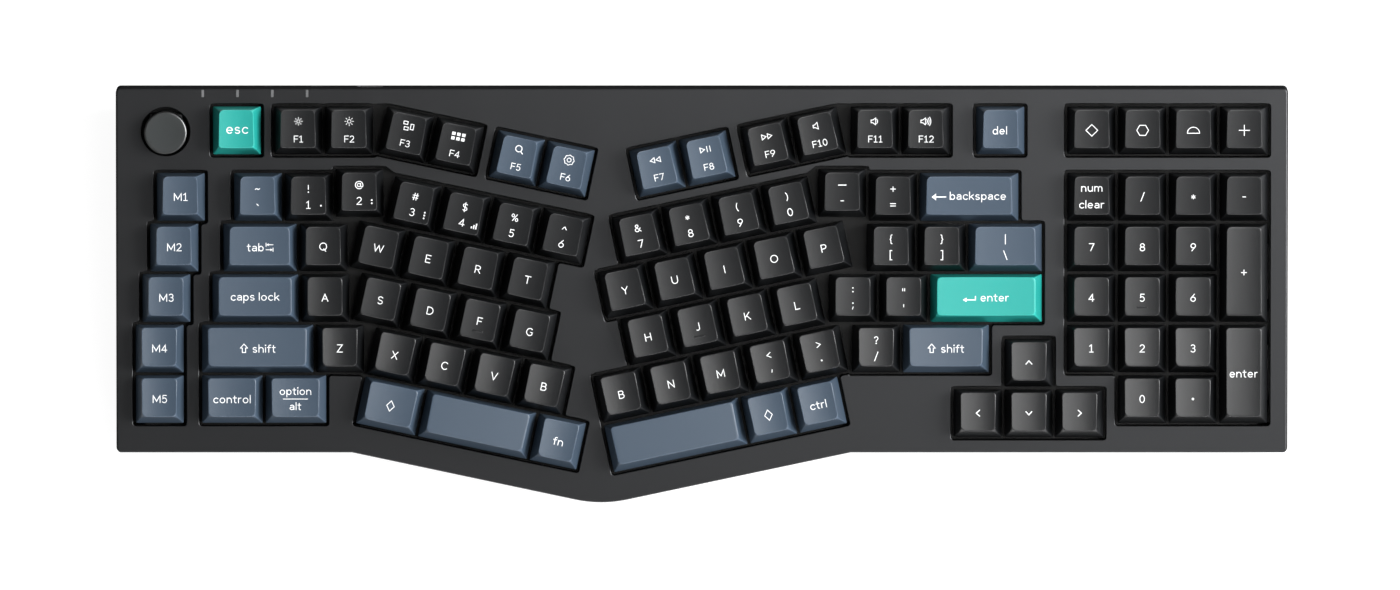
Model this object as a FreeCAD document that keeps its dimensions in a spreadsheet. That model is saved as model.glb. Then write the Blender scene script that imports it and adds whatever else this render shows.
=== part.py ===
# Split-angle mechanical keyboard with a knob, a macro column and a number pad.
# A gasket-held plate carries the switches inside a two-shell metal case. All sizes are in millimetres.
#
# Most pieces are drawn square to the sloping top: X to the right from the middle of the case, Y to the
# back from the straight part of the front edge, Z up from the top face. Each piece's Placement then
# tips it back by the typing angle and stands the feet on Z = 0, under the middle of the keyboard.
import FreeCAD, Part
import Sketcher
import math
import os

V = FreeCAD.Vector

doc = FreeCAD.newDocument("keyboard")

# Driving dimensions
sizes = doc.addObject("Spreadsheet::Sheet", "sizes")
DIMENSIONS = [
    ("key_pitch", 19.05, "standard key spacing, the scale of everything"),
    ("function_row_pitch", 25.05, "function row to number row"),
    ("cap_gap", 1.09, "gap between the feet of neighbouring caps"),
    ("raised_key_shift", 1.5, "how far back the keys beside the two angled blocks stand"),
    ("opening_margin", 0.53, "case opening beyond the key cells"),
    ("opening_corner", 0.8, "cut corners of the openings"),
    ("border_left", 6.86, "case edge to the first key cell"),
    ("border_right", 7.2, ""),
    ("border_back", 6.26, ""),
    ("border_front", 10.57, ""),
    ("block_angle", 12.0, "degrees that each half of the letter block is turned"),
    ("typing_angle", 5.2, "degrees that the top slopes up to the back"),
    ("chin_radius", 47.0, "round nose of the front edge"),
    ("case_corner", 1.2, "cut corners of the case's outline"),
    ("case_chamfer", 0.4, "bevel round the top face"),
    ("front_height", 22.2, "top face to underside at the straight front edge"),
    ("wall_height", 15.4, "upper shell, square to its top"),
    ("wall_thickness", 4.0, ""),
    ("deck_thickness", 5.0, ""),
    ("rim_step", 0.6, "lower shell set in from the upper one"),
    ("lower_draft", 25.0, "degrees that the lower shell's sides draw in"),
    ("plate_depth", 7.0, "top face to the switch plate"),
    ("plate_thickness", 1.5, ""),
    ("plate_clearance", 0.6, "plate edge to the case wall"),
    ("board_depth", 12.0, "top face to the circuit board"),
    ("board_thickness", 1.6, ""),
    ("board_inset", 7.6, "case edge to the board's edge"),
    ("standoff_diameter", 3.2, "posts between board and plate"),
    ("tray_depth", 17.6, "top face to the floor of the lower shell"),
    ("foam_thickness", 3.7, ""),
    ("gasket_width", 2.3, ""),
    ("gasket_length", 16.0, ""),
    ("gasket_thickness", 2.0, ""),
    ("boss_width", 5.2, "square screw bosses in the upper shell"),
    ("screw_inset", 8.0, "case edge to the front row of screws"),
    ("back_screw_inset", 13.0, ""),
    ("screw_diameter", 3.0, ""),
    ("screw_head_diameter", 5.4, ""),
    ("screw_head_height", 2.6, ""),
    ("screw_engagement", 7.0, "screw length inside the upper shell"),
    ("cap_rest_depth", 0.8, "foot of a cap below the top face at rest"),
    ("cap_side_inset", 2.45, "cap foot to cap top at each side"),
    ("cap_front_inset", 3.3, ""),
    ("cap_back_inset", 0.35, ""),
    ("cap_wall", 1.3, ""),
    ("homing_bar", 4.0, "length of the raised bar on F, J and 5"),
    ("homing_rise", 0.4, "the bar above the front of the cap's top"),
    ("homing_width", 0.7, ""),
    ("homing_inset", 2.4, "front of the cap's top to the bar"),
    ("key_travel", 4.0, ""),
    ("switch_width", 14.0, "switch and its hole at the plate's underside"),
    ("switch_top_width", 11.4, "switch housings draw in under the caps"),
    ("switch_rise", 6.4, "switch top above the plate"),
    ("slider_width", 5.6, ""),
    ("slider_clearance", 0.2, ""),
    ("slider_depth", 3.0, "top face to the foot of the slider"),
    ("stabiliser_spacing", 23.88, "between the two stems of a wide key"),
    ("stabiliser_wire", 1.6, ""),
    ("stabiliser_arm", 8.6, "wire pivot to stem"),
    ("stabiliser_bend", 2.0, "length that the wire's corner cuts off"),
    ("stabiliser_width", 6.4, "housing, across"),
    ("stabiliser_front", 5.6, "stem to the front of the housing"),
    ("stabiliser_back", 4.6, "stem to the back of the housing"),
    ("stabiliser_top", 2.6, "top face to the top of the housing"),
    ("stabiliser_slot", 4.0, "slot that the stem runs in"),
    ("stabiliser_stem_width", 3.4, ""),
    ("stabiliser_stem_depth", 3.6, ""),
    ("knob_diameter", 16.0, ""),
    ("knob_height", 5.6, "knob top above the case"),
    ("knob_recess", 1.0, "knob foot below the case top"),
    ("knob_hole_diameter", 18.2, ""),
    ("knob_from_left", 18.8, "case edge to the knob's axis"),
    ("knob_from_back", 16.2, ""),
    ("knob_roof", 1.4, "thickness of the knob's top"),
    ("knob_press", 0.5, "travel of the knob's push switch"),
    ("shaft_diameter", 6.0, ""),
    ("shaft_depth", 6.4, "case top to the shaft's foot"),
    ("plunger_height", 1.0, ""),
    ("plunger_width", 4.2, ""),
    ("encoder_width", 12.0, ""),
    ("encoder_height", 6.5, ""),
    ("encoder_neck", 9.0, "width of the encoder's six-sided neck"),
    ("encoder_neck_rise", 3.0, "neck above the encoder's body"),
    ("port_from_left", 96.0, "case edge to the data port"),
    ("port_width", 8.94, ""),
    ("port_height", 3.2, ""),
    ("port_length", 7.0, ""),
    ("port_wall", 0.3, "sheet metal of the port's shell"),
    ("port_window_width", 12.0, ""),
    ("port_window_height", 6.0, ""),
    ("port_depth", 11.4, "top face to the middle of the ports"),
    ("port_corner", 1.1, "cut corners of the port's shell"),
    ("port_board_thickness", 1.2, ""),
    ("port_board_margin", 9.0, "port or switch to the end of the board"),
    ("slide_switch_length", 8.0, ""),
    ("slide_switch_rise", 1.6, "middle of the ports to the top of a slide switch"),
    ("switch_spacing", 19.0, "between the ports and slide switches"),
    ("lever_width", 2.4, ""),
    ("mode_throw", 2.0, "slide of the three-way switch each way"),
    ("system_throw", 1.0, "slide of the two-way switch each way"),
    ("battery_length", 102.0, ""),
    ("battery_width", 50.0, ""),
    ("battery_height", 5.4, ""),
    ("battery_from_front", 85.0, "front edge to the middle of the battery pack"),
    ("light_width", 1.0, "indicator light guides"),
    ("light_length", 2.9, ""),
    ("light_depth", 1.5, ""),
    ("light_gap", 0.05, "light guide to its window"),
    ("light_pitch", 13.05, ""),
    ("light_from_left", 32.7, ""),
    ("foot_length", 34.0, ""),
    ("foot_width", 9.0, ""),
    ("foot_height", 1.2, "rubber standing proud of the underside"),
    ("foot_recess", 1.0, ""),
    ("foot_from_side", 40.0, "case side to the end of a foot"),
    ("foot_from_edge", 14.0, "front or back edge to a foot"),
    ("clearance", 0.3, "running gap between neighbouring pieces"),
]
for line, (alias, value, note) in enumerate(DIMENSIONS, start=1):
    sizes.set("A%d" % line, alias)
    sizes.set("B%d" % line, str(value))
    sizes.set("C%d" % line, note)
    sizes.setAlias("B%d" % line, alias)
doc.recompute()


def size(alias):
    return float(sizes.get(alias))


PITCH = size("key_pitch")
TRAVEL = size("key_travel")
CLEAR = size("clearance")
MARGIN = size("opening_margin")

# Layout in key pitches: right from the leftmost cell and down from the number row's top edge.
# The function row stands apart from it.
LAYOUT_WIDTH = 22.358
LAYOUT_ROWS = 5
FUNCTION_ROW = -size("function_row_pitch") / PITCH
RAISED = -size("raised_key_shift") / PITCH
ARROW_ROW = 3.28
BLOCK_AXIS = 9.204
BLOCK_HALF_GAP = 0.168
BLOCK_TOP = 0.885

BORDER_LEFT = size("border_left")
BORDER_FRONT = size("border_front")
CASE_WIDTH = LAYOUT_WIDTH * PITCH + BORDER_LEFT + size("border_right")
LAYOUT_DEPTH = LAYOUT_ROWS * PITCH + size("function_row_pitch")
CASE_DEPTH = LAYOUT_DEPTH + size("border_back") + BORDER_FRONT
LEFT = -CASE_WIDTH / 2
RIGHT = CASE_WIDTH / 2
ROW_ONE = BORDER_FRONT + LAYOUT_ROWS * PITCH
ANGLE = math.radians(size("block_angle"))
TILT = math.radians(size("typing_angle"))


class Block:
    """A set of keys that shares one turn: where its own zero lies, and the turn in degrees."""

    def __init__(self, across, down, turn):
        self.turn = turn
        self.zero = V(LEFT + BORDER_LEFT + across * PITCH, ROW_ONE - down * PITCH, 0)
        bend = math.radians(turn)
        self.right = V(math.cos(bend), math.sin(bend), 0)
        self.back = V(-math.sin(bend), math.cos(bend), 0)

    def point(self, across, down):
        return self.zero + self.right * (across * PITCH) - self.back * (down * PITCH)


STRAIGHT = Block(0, 0, 0)
LEFT_BLOCK = Block(BLOCK_AXIS - BLOCK_HALF_GAP, BLOCK_TOP, -size("block_angle"))
RIGHT_BLOCK = Block(BLOCK_AXIS + BLOCK_HALF_GAP, BLOCK_TOP, size("block_angle"))

# Left edges of the straight rows, in key pitches
MACRO_EDGES = [0.422, 0.292, 0.134, 0.0, 0.0]
FIRST_EDGES = [1.943, 1.732, 1.515, 1.307, 1.307]
RETURN_EDGES = [13.448, 14.41, 13.66, 14.12]
ESC_EDGE = 1.529
F1_EDGE = 2.739
F11_EDGE = 14.091
DELETE_EDGE = 16.564
ARROW_EDGE = 16.127
PAD_EDGE = 18.358
# Edges of the angled rows from each block's own zero, number row to space row
LEFT_BLOCK_ENDS = [0.0, -0.5, -0.25, 0.25, 0.75]
RIGHT_BLOCK_STARTS = [0.0, -0.5, -0.25, -1.0, -1.0]
F3_EDGE = -4.43
F5_EDGE = -2.203
F7_EDGE = 0.615
F9_EDGE = 2.846
F7_ROW = -1.224

# Sculpture of each row: height of a cap at its back edge and at its front edge
ROW_HEIGHTS = {"high": (11.4, 9.9), "upper": (9.8, 8.9), "home": (9.0, 8.8), "lower": (9.0, 9.9)}


class Key:
    """One key: its block, its cell in pitches (left, top, width, height) and its row's sculpture."""

    def __init__(self, block, across, down, row, width=1.0, height=1.0, homing=False):
        self.block = block
        self.width = width * PITCH - size("cap_gap")
        self.depth = height * PITCH - size("cap_gap")
        self.row = row
        self.homing = homing
        self.wide = width >= 2
        self.tall = height >= 2
        self.centre = block.point(across + width / 2, down + height / 2)
        self.place = FreeCAD.Placement(self.centre, FreeCAD.Rotation(V(0, 0, 1), block.turn))


def run(block, start, down, row, widths, homing=None):
    """Keys side by side from one left edge."""
    keys = []
    across = start
    for number, width in enumerate(widths):
        keys.append(Key(block, across, down, row, width, homing=number == homing))
        across += width
    return keys


def angled_run(row_number, row, count, homing=None):
    """The left block's keys of one row, which end at that row's right edge."""
    start = LEFT_BLOCK_ENDS[row_number] - count
    return run(LEFT_BLOCK, start, row_number, row, [1] * count, homing)


# Widths of the space row's angled keys
LEFT_SPACE_ROW = [1.25, 2.25, 1.0]
RIGHT_SPACE_ROW = [2.75, 1.0, 1.0]
LEFT_SPACE_START = LEFT_BLOCK_ENDS[4] - sum(LEFT_SPACE_ROW)
left_space_keys = run(LEFT_BLOCK, LEFT_SPACE_START, 4, "lower", LEFT_SPACE_ROW)
right_space_keys = run(RIGHT_BLOCK, RIGHT_BLOCK_STARTS[4], 4, "lower", RIGHT_SPACE_ROW)

KEY_GROUPS = {
    "key_esc": [Key(STRAIGHT, ESC_EDGE, FUNCTION_ROW, "high")],
    "keys_f1_f6": run(STRAIGHT, F1_EDGE, FUNCTION_ROW, "high", [1, 1])
    + run(LEFT_BLOCK, F3_EDGE, FUNCTION_ROW, "high", [1, 1])
    + run(LEFT_BLOCK, F5_EDGE, FUNCTION_ROW, "high", [1, 1]),
    "keys_f7_f12": run(RIGHT_BLOCK, F7_EDGE, F7_ROW, "high", [1, 1])
    + run(RIGHT_BLOCK, F9_EDGE, F7_ROW, "high", [1, 1])
    + run(STRAIGHT, F11_EDGE, FUNCTION_ROW, "high", [1, 1]),
    "key_delete": [Key(STRAIGHT, DELETE_EDGE, FUNCTION_ROW, "high")],
    "keys_programmable": run(STRAIGHT, PAD_EDGE, FUNCTION_ROW, "high", [1] * 4),
    "keys_macro": [
        Key(STRAIGHT, edge, number, row)
        for number, (edge, row) in enumerate(zip(MACRO_EDGES, ["high", "upper", "home", "lower", "lower"]))
    ],
    "keys_grave_to_6": run(STRAIGHT, FIRST_EDGES[0], 0, "high", [1, 1])
    + [Key(STRAIGHT, FIRST_EDGES[0] + 2, RAISED, "high")]
    + angled_run(0, "high", 4),
    "keys_7_to_equals": run(RIGHT_BLOCK, RIGHT_BLOCK_STARTS[0], 0, "high", [1] * 4)
    + [Key(STRAIGHT, RETURN_EDGES[0], RAISED, "high"), Key(STRAIGHT, RETURN_EDGES[0] + 1, 0, "high")],
    "key_backspace": [Key(STRAIGHT, RETURN_EDGES[0] + 2, 0, "high", 2)],
    "key_tab": [Key(STRAIGHT, FIRST_EDGES[1], 1, "upper", 1.5)],
    "keys_q_to_t": [Key(STRAIGHT, FIRST_EDGES[1] + 1.5, 1, "upper")] + angled_run(1, "upper", 4),
    "keys_y_to_bracket": run(RIGHT_BLOCK, RIGHT_BLOCK_STARTS[1], 1, "upper", [1] * 5)
    + run(STRAIGHT, RETURN_EDGES[1], 1, "upper", [1, 1]),
    "key_backslash": [Key(STRAIGHT, RETURN_EDGES[1] + 2, 1, "upper", 1.5)],
    "key_caps_lock": [Key(STRAIGHT, FIRST_EDGES[2], 2, "home", 1.75)],
    "keys_a_to_g": [Key(STRAIGHT, FIRST_EDGES[2] + 1.75, 2, "home")] + angled_run(2, "home", 4, 2),
    "keys_h_to_quote": run(RIGHT_BLOCK, RIGHT_BLOCK_STARTS[2], 2, "home", [1] * 4, 1)
    + run(STRAIGHT, RETURN_EDGES[2], 2, "home", [1, 1]),
    "key_enter": [Key(STRAIGHT, RETURN_EDGES[2] + 2, 2, "home", 2.25)],
    "key_left_shift": [Key(STRAIGHT, FIRST_EDGES[3], 3, "lower", 2.25)],
    "keys_z_to_b": [Key(STRAIGHT, FIRST_EDGES[3] + 2.25, 3, "lower")] + angled_run(3, "lower", 4),
    "keys_b_to_slash": run(RIGHT_BLOCK, RIGHT_BLOCK_STARTS[3], 3, "lower", [1] * 5)
    + [Key(STRAIGHT, RETURN_EDGES[3], 3, "lower")],
    "key_right_shift": [Key(STRAIGHT, RETURN_EDGES[3] + 1, 3, "lower", 1.75)],
    "keys_left_modifiers": run(STRAIGHT, FIRST_EDGES[4], 4, "lower", [1.25, 1.25])
    + [left_space_keys[0], left_space_keys[2]],
    "key_space_left": left_space_keys[1:2],
    "key_space_right": right_space_keys[:1],
    "keys_right_modifiers": right_space_keys[1:],
    "keys_arrows": [Key(STRAIGHT, ARROW_EDGE + 1, ARROW_ROW, "lower")]
    + run(STRAIGHT, ARROW_EDGE, ARROW_ROW + 1, "lower", [1] * 3),
    "keys_pad_top_row": run(STRAIGHT, PAD_EDGE, 0, "high", [1] * 4),
    "keys_pad_789": run(STRAIGHT, PAD_EDGE, 1, "upper", [1] * 3),
    "key_pad_plus": [Key(STRAIGHT, PAD_EDGE + 3, 1, "upper", 1, 2)],
    "keys_pad_456": run(STRAIGHT, PAD_EDGE, 2, "home", [1] * 3, 1),
    "keys_pad_1230": run(STRAIGHT, PAD_EDGE, 3, "lower", [1] * 3)
    + run(STRAIGHT, PAD_EDGE + 1, 4, "lower", [1, 1]),
    "key_pad_enter": [Key(STRAIGHT, PAD_EDGE + 3, 3, "lower", 1, 2)],
}
ALL_KEYS = [key for group in KEY_GROUPS.values() for key in group]


# Outline tools
def grown(points, margin):
    """A closed counter-clockwise polygon with every side moved outwards by the margin."""
    moved = []
    for number, corner in enumerate(points):
        before = corner - points[number - 1]
        after = points[(number + 1) % len(points)] - corner
        before.normalize()
        after.normalize()
        out_before = V(before.y, -before.x, 0)
        out_after = V(after.y, -after.x, 0)
        share = 1 + out_before.dot(out_after)
        moved.append(corner + (out_before + out_after) * (margin / share))
    return moved


def rounded_wire(points, radii, level=0.0):
    """A polygon as a wire at one level, its corners rounded where their radius is not zero."""
    starts = []
    ends = []
    middles = []
    for number, corner in enumerate(points):
        before = points[number - 1] - corner
        after = points[(number + 1) % len(points)] - corner
        before.normalize()
        after.normalize()
        half = before.getAngle(after) / 2
        reach = radii[number] / math.tan(half)
        inward = before + after
        starts.append(corner + before * reach)
        ends.append(corner + after * reach)
        if radii[number]:
            inward.normalize()
            middles.append(corner + inward * (radii[number] / math.sin(half) - radii[number]))
        else:
            middles.append(None)
    edges = []
    for number, middle in enumerate(middles):
        if middle is not None:
            edges.append(Part.Arc(starts[number], middle, ends[number]).toShape())
        edges.append(Part.makeLine(ends[number], starts[(number + 1) % len(points)]))
    wire = Part.Wire(edges)
    wire.translate(V(0, 0, level))
    return wire


def clipped(points, cut):
    """The polygon with its outer corners cut off where two long sides meet; small steps stay sharp."""
    kept = []
    for number, corner in enumerate(points):
        before = corner - points[number - 1]
        after = points[(number + 1) % len(points)] - corner
        turns_left = before.cross(after).z > 0
        sharp = before.getAngle(after) > math.radians(45)
        if turns_left and sharp and min(before.Length, after.Length) > 2 * cut:
            before.normalize()
            after.normalize()
            kept += [corner - before * cut, corner + after * cut]
        else:
            kept.append(corner)
    return kept


def polygon_wire(points, level):
    raised = [point + V(0, 0, level) for point in points]
    return Part.makePolygon(raised + raised[:1])


def prism(wire, height):
    return Part.Face(wire).extrude(V(0, 0, height))


def block(width, depth, height, centre, turn=0.0):
    """A box centred on a point in plan, standing on that point's level."""
    box = Part.makeBox(width, depth, height, V(-width / 2, -depth / 2, 0))
    return box.transformed(FreeCAD.Placement(centre, FreeCAD.Rotation(V(0, 0, 1), turn)).Matrix)


def frustum(foot, top):
    """A solid between two rings of four corners, the lower one first."""
    rings = [foot[::-1], top]
    for number in range(4):
        following = (number + 1) % 4
        rings.append([foot[number], foot[following], top[following], top[number]])
    faces = [Part.Face(Part.makePolygon(ring + ring[:1])) for ring in rings]
    return Part.Solid(Part.Shell(faces))


# Case outline: the straight edges and a chin that follows the two angled blocks
def chin_points(inset):
    """Where the front edge leaves the straight, its virtual nose, and where it comes back."""
    front = inset
    foot = LEFT_BLOCK.point(0, LAYOUT_ROWS) - LEFT_BLOCK.back * (BORDER_FRONT - inset)
    slope = math.tan(ANGLE)
    axis = LEFT + BORDER_LEFT + BLOCK_AXIS * PITCH
    nose = foot.y - (axis - foot.x) * slope
    reach = (front - nose) / slope
    return V(axis - reach, front, 0), V(axis, nose, 0), V(axis + reach, front, 0)


def case_outline(inset, level, draft_inset=0.0):
    """The outline of the case drawn in by an inset, and further in by a draft that keeps its corners."""
    whole = inset + draft_inset
    left_bend, nose, right_bend = chin_points(whole)
    points = [
        V(LEFT + whole, whole, 0),
        left_bend,
        nose,
        right_bend,
        V(RIGHT - whole, whole, 0),
        V(RIGHT - whole, CASE_DEPTH - whole, 0),
        V(LEFT + whole, CASE_DEPTH - whole, 0),
    ]
    corner = size("case_corner") - inset * (2 - math.sqrt(2))
    if corner > 0:
        points = clipped(points, corner)
    radii = [size("chin_radius") - whole if point is nose else 0 for point in points]
    return rounded_wire(points, radii, level)


def chin_drop():
    nose = chin_points(0)[1]
    return -nose.y - size("chin_radius") * (1 / math.cos(ANGLE) - 1)


# Openings of the case, as polygons round the key cells, counter-clockwise from above
def steps(block_of_keys, edges, first_row, climbing):
    """Corners of a stepped side: one edge per row, walked up or down the rows."""
    corners = []
    for number, edge in enumerate(edges):
        corners.append(block_of_keys.point(edge, first_row + number))
        corners.append(block_of_keys.point(edge, first_row + number + 1))
    kept = []
    for number, corner in enumerate(corners):
        neighbour = (number + number % 2 * 2 - 1) // 2
        if number in (0, len(corners) - 1) or edges[number // 2] != edges[neighbour]:
            kept.append(corner)
    return kept[::-1] if climbing else kept


def cells(block_of_keys, left, top, width, height=1.0):
    """The four corners of a rectangle of cells."""
    return [
        block_of_keys.point(left, top + height),
        block_of_keys.point(left + width, top + height),
        block_of_keys.point(left + width, top),
        block_of_keys.point(left, top),
    ]


def joined_row(first, second):
    """One outline round two rectangles that stand side by side."""
    return [first[0], first[1], second[0], second[1], second[2], second[3], first[2], first[3]]


def letter_block_left():
    row_ends = [edge + width for edge, width in zip(FIRST_EDGES, [3, 2.5, 2.75, 3.25, 2.5])]
    digit_two = FIRST_EDGES[0] + 2
    return (
        steps(STRAIGHT, FIRST_EDGES, 0, False)
        + [STRAIGHT.point(row_ends[4], LAYOUT_ROWS), LEFT_BLOCK.point(LEFT_SPACE_START, LAYOUT_ROWS)]
        + steps(LEFT_BLOCK, LEFT_BLOCK_ENDS, 0, True)
        + [
            LEFT_BLOCK.point(LEFT_BLOCK_ENDS[0] - 4, 0),
            STRAIGHT.point(row_ends[0], RAISED),
            STRAIGHT.point(digit_two, RAISED),
            STRAIGHT.point(digit_two, 0),
        ]
    )


def letter_block_right():
    row_ends = [RETURN_EDGES[0] + 4, RETURN_EDGES[1] + 3.5, RETURN_EDGES[2] + 4.25, RETURN_EDGES[3] + 2.75]
    space_end = RIGHT_BLOCK_STARTS[4] + sum(RIGHT_SPACE_ROW)
    return (
        steps(RIGHT_BLOCK, RIGHT_BLOCK_STARTS, 0, False)
        + [
            RIGHT_BLOCK.point(space_end, LAYOUT_ROWS),
            RIGHT_BLOCK.point(space_end, LAYOUT_ROWS - 1),
            RIGHT_BLOCK.point(RIGHT_BLOCK_STARTS[3] + 5, LAYOUT_ROWS - 1),
            STRAIGHT.point(RETURN_EDGES[3], LAYOUT_ROWS - 1),
        ]
        + steps(STRAIGHT, row_ends, 0, True)
        + [
            STRAIGHT.point(RETURN_EDGES[0] + 1, 0),
            STRAIGHT.point(RETURN_EDGES[0] + 1, RAISED),
            STRAIGHT.point(RETURN_EDGES[0], RAISED),
            RIGHT_BLOCK.point(RIGHT_BLOCK_STARTS[0] + 4, 0),
        ]
    )


def macro_opening():
    right_edges = [edge + 1 for edge in MACRO_EDGES]
    return steps(STRAIGHT, MACRO_EDGES, 0, False) + steps(STRAIGHT, right_edges, 0, True)


def arrow_opening():
    foot = cells(STRAIGHT, ARROW_EDGE, ARROW_ROW + 1, 3)
    head = cells(STRAIGHT, ARROW_EDGE + 1, ARROW_ROW, 1)
    return [foot[0], foot[1], foot[2], head[1], head[2], head[3], head[0], foot[3]]


def pad_opening():
    whole = cells(STRAIGHT, PAD_EDGE, 0, 4, LAYOUT_ROWS)
    notch = cells(STRAIGHT, PAD_EDGE, LAYOUT_ROWS - 1, 1)
    return [notch[1], whole[1], whole[2], whole[3], notch[3], notch[2]]


KEY_OPENINGS = [
    cells(STRAIGHT, ESC_EDGE, FUNCTION_ROW, 1),
    joined_row(cells(STRAIGHT, F1_EDGE, FUNCTION_ROW, 2), cells(LEFT_BLOCK, F3_EDGE, FUNCTION_ROW, 2)),
    cells(LEFT_BLOCK, F5_EDGE, FUNCTION_ROW, 2),
    cells(RIGHT_BLOCK, F7_EDGE, F7_ROW, 2),
    joined_row(cells(RIGHT_BLOCK, F9_EDGE, F7_ROW, 2), cells(STRAIGHT, F11_EDGE, FUNCTION_ROW, 2)),
    cells(STRAIGHT, DELETE_EDGE, FUNCTION_ROW, 1),
    cells(STRAIGHT, PAD_EDGE, FUNCTION_ROW, 4),
    macro_opening(),
    letter_block_left(),
    letter_block_right(),
    arrow_opening(),
    pad_opening(),
]

# Places that several pieces share
WALL = size("wall_thickness")
WALL_HEIGHT = size("wall_height")
DECK = size("deck_thickness")
PLATE_TOP = -size("plate_depth")
PLATE_FOOT = PLATE_TOP - size("plate_thickness")
BOARD_TOP = -size("board_depth")
BOARD_FOOT = BOARD_TOP - size("board_thickness")
FLOOR = -size("tray_depth")
PLATE_INSET = WALL + size("plate_clearance")
BOARD_INSET = size("board_inset")
BOSS = size("boss_width")
SCREW = size("screw_diameter")
HEAD = size("screw_head_diameter")
HEAD_HEIGHT = size("screw_head_height")
KNOB_PLACE = V(LEFT + size("knob_from_left"), CASE_DEPTH - size("knob_from_back"), 0)
PLUNGER_FOOT = -size("shaft_depth") - size("plunger_height")
PORT_LEVEL = -size("port_depth")
PORT_PLACE = V(LEFT + size("port_from_left"), CASE_DEPTH, PORT_LEVEL)
MODE_PLACE = PORT_PLACE - V(size("switch_spacing"), 0, 0)
SYSTEM_PLACE = MODE_PLACE - V(size("switch_spacing"), 0, 0)
LEVER = size("lever_width")
LEVER_HEIGHT = 2.0
NOSE_X = chin_points(0)[1].x
# The underside is level: its depth below the top plane grows to the back
UNDERSIDE = size("front_height") / math.cos(TILT)


def underside(y):
    return -(UNDERSIDE + y * math.tan(TILT))


SCREW_INSET = size("screw_inset")
BACK_SCREW_Y = CASE_DEPTH - size("back_screw_inset")
KNOB_GAP_X = (KNOB_PLACE.x + size("knob_hole_diameter") / 2 + STRAIGHT.point(ESC_EDGE, 0).x - MARGIN) / 2
PAD_GAP_X = STRAIGHT.point((DELETE_EDGE + 1 + PAD_EDGE) / 2, 0).x
SCREW_PLACES = [
    V(LEFT + SCREW_INSET, SCREW_INSET, 0),
    V(chin_points(0)[0].x, SCREW_INSET, 0),
    V(NOSE_X, SCREW_INSET - chin_drop(), 0),
    V(chin_points(0)[2].x, SCREW_INSET, 0),
    V(RIGHT - SCREW_INSET, SCREW_INSET, 0),
    V(KNOB_GAP_X, BACK_SCREW_Y, 0),
    V(NOSE_X, BACK_SCREW_Y, 0),
    V(PAD_GAP_X, BACK_SCREW_Y, 0),
]
# Free spots between four switches, where the standoffs between plate and board stand
STANDOFF_PLACES = [
    STRAIGHT.point(PAD_EDGE + 1, 1),
    STRAIGHT.point(PAD_EDGE + 3, 4),
    LEFT_BLOCK.point(-1.25, 2),
    LEFT_BLOCK.point(-3.25, 3),
    RIGHT_BLOCK.point(0.75, 2),
    RIGHT_BLOCK.point(2.75, 3),
]
GASKET_INSET = PLATE_INSET + CLEAR + size("gasket_width") / 2
GASKET_HEIGHT = size("gasket_thickness")


def gasket_seats():
    """Gasket seats as (centre, turn, length) in plan, on the free stretches of the border."""
    long = size("gasket_length")
    degrees = size("block_angle")
    left_bend, nose, right_bend = chin_points(GASKET_INSET)
    back = CASE_DEPTH - GASKET_INSET
    return [
        (V((LEFT + left_bend.x) / 2, GASKET_INSET, 0), 0, long),
        ((left_bend + nose) / 2, -degrees, long),
        ((right_bend + nose) / 2, degrees, long),
        (V(STRAIGHT.point(PAD_EDGE + 2, 0).x, GASKET_INSET, 0), 0, long),
        (V(LEFT + GASKET_INSET, CASE_DEPTH / 2, 0), 90, long),
        (V(RIGHT - GASKET_INSET, CASE_DEPTH / 2, 0), 90, long),
        (V(NOSE_X - BOSS, back, 0), 0, long),
        (V(PAD_GAP_X, back, 0), 0, long / 2),
    ]


GASKETS = gasket_seats()

# World placement: tip back, stand the feet on zero, centre the box
TOP_RISE = size("front_height") + size("foot_height")
FRONT_REACH = -chin_drop() * math.cos(TILT) + size("case_chamfer") * math.sin(TILT)
BACK_REACH = CASE_DEPTH * math.cos(TILT) + WALL_HEIGHT * math.sin(TILT)
SHIFT = V(0, -(FRONT_REACH + BACK_REACH) / 2, TOP_RISE)
TIPPED = FreeCAD.Placement(SHIFT, FreeCAD.Rotation(V(1, 0, 0), size("typing_angle")))


def tipped(local):
    """The world placement of a piece that is drawn about a point of the sloping top."""
    return TIPPED.multiply(FreeCAD.Placement(local, FreeCAD.Rotation()))


subparts = []


def keep(item, name, placement):
    item.Label = name
    item.Placement = placement
    subparts.append(item)


def piece(name, shapes, placement=TIPPED):
    """A sub-part with a shape of its own making, one solid or several."""
    feature = doc.addObject("Part::Feature", name)
    feature.Shape = Part.makeCompound(shapes)
    keep(feature, name, placement)


def pin(diameter, centre, height, sides=6):
    """A pin with flat sides, its diameter across the corners, up from a point."""
    step = 2 * math.pi / sides
    corners = [centre + V(math.cos((side + 0.5) * step), math.sin((side + 0.5) * step), 0) * (diameter / 2)
               for side in range(sides)]
    return prism(polygon_wire(corners, 0), height)


# Upper shell
def wall_slot(place, width, height):
    """A window through the back wall."""
    return block(width, WALL + 2, height, place + V(0, -WALL / 2, -height / 2))


def light_places():
    first = LEFT + size("light_from_left")
    return [V(first + number * size("light_pitch"), CASE_DEPTH, 0) for number in range(4)]


def light_blade(place, slack, height):
    """One narrow light window, in from the back edge; slack leaves room round it."""
    length = size("light_length") - slack
    centre = place + V(0, -slack - length / 2, -height)
    return block(size("light_width") - 2 * slack, length, height, centre)


def lever_slot_width(throw):
    return LEVER + 2 * throw + 2 * CLEAR


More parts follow.
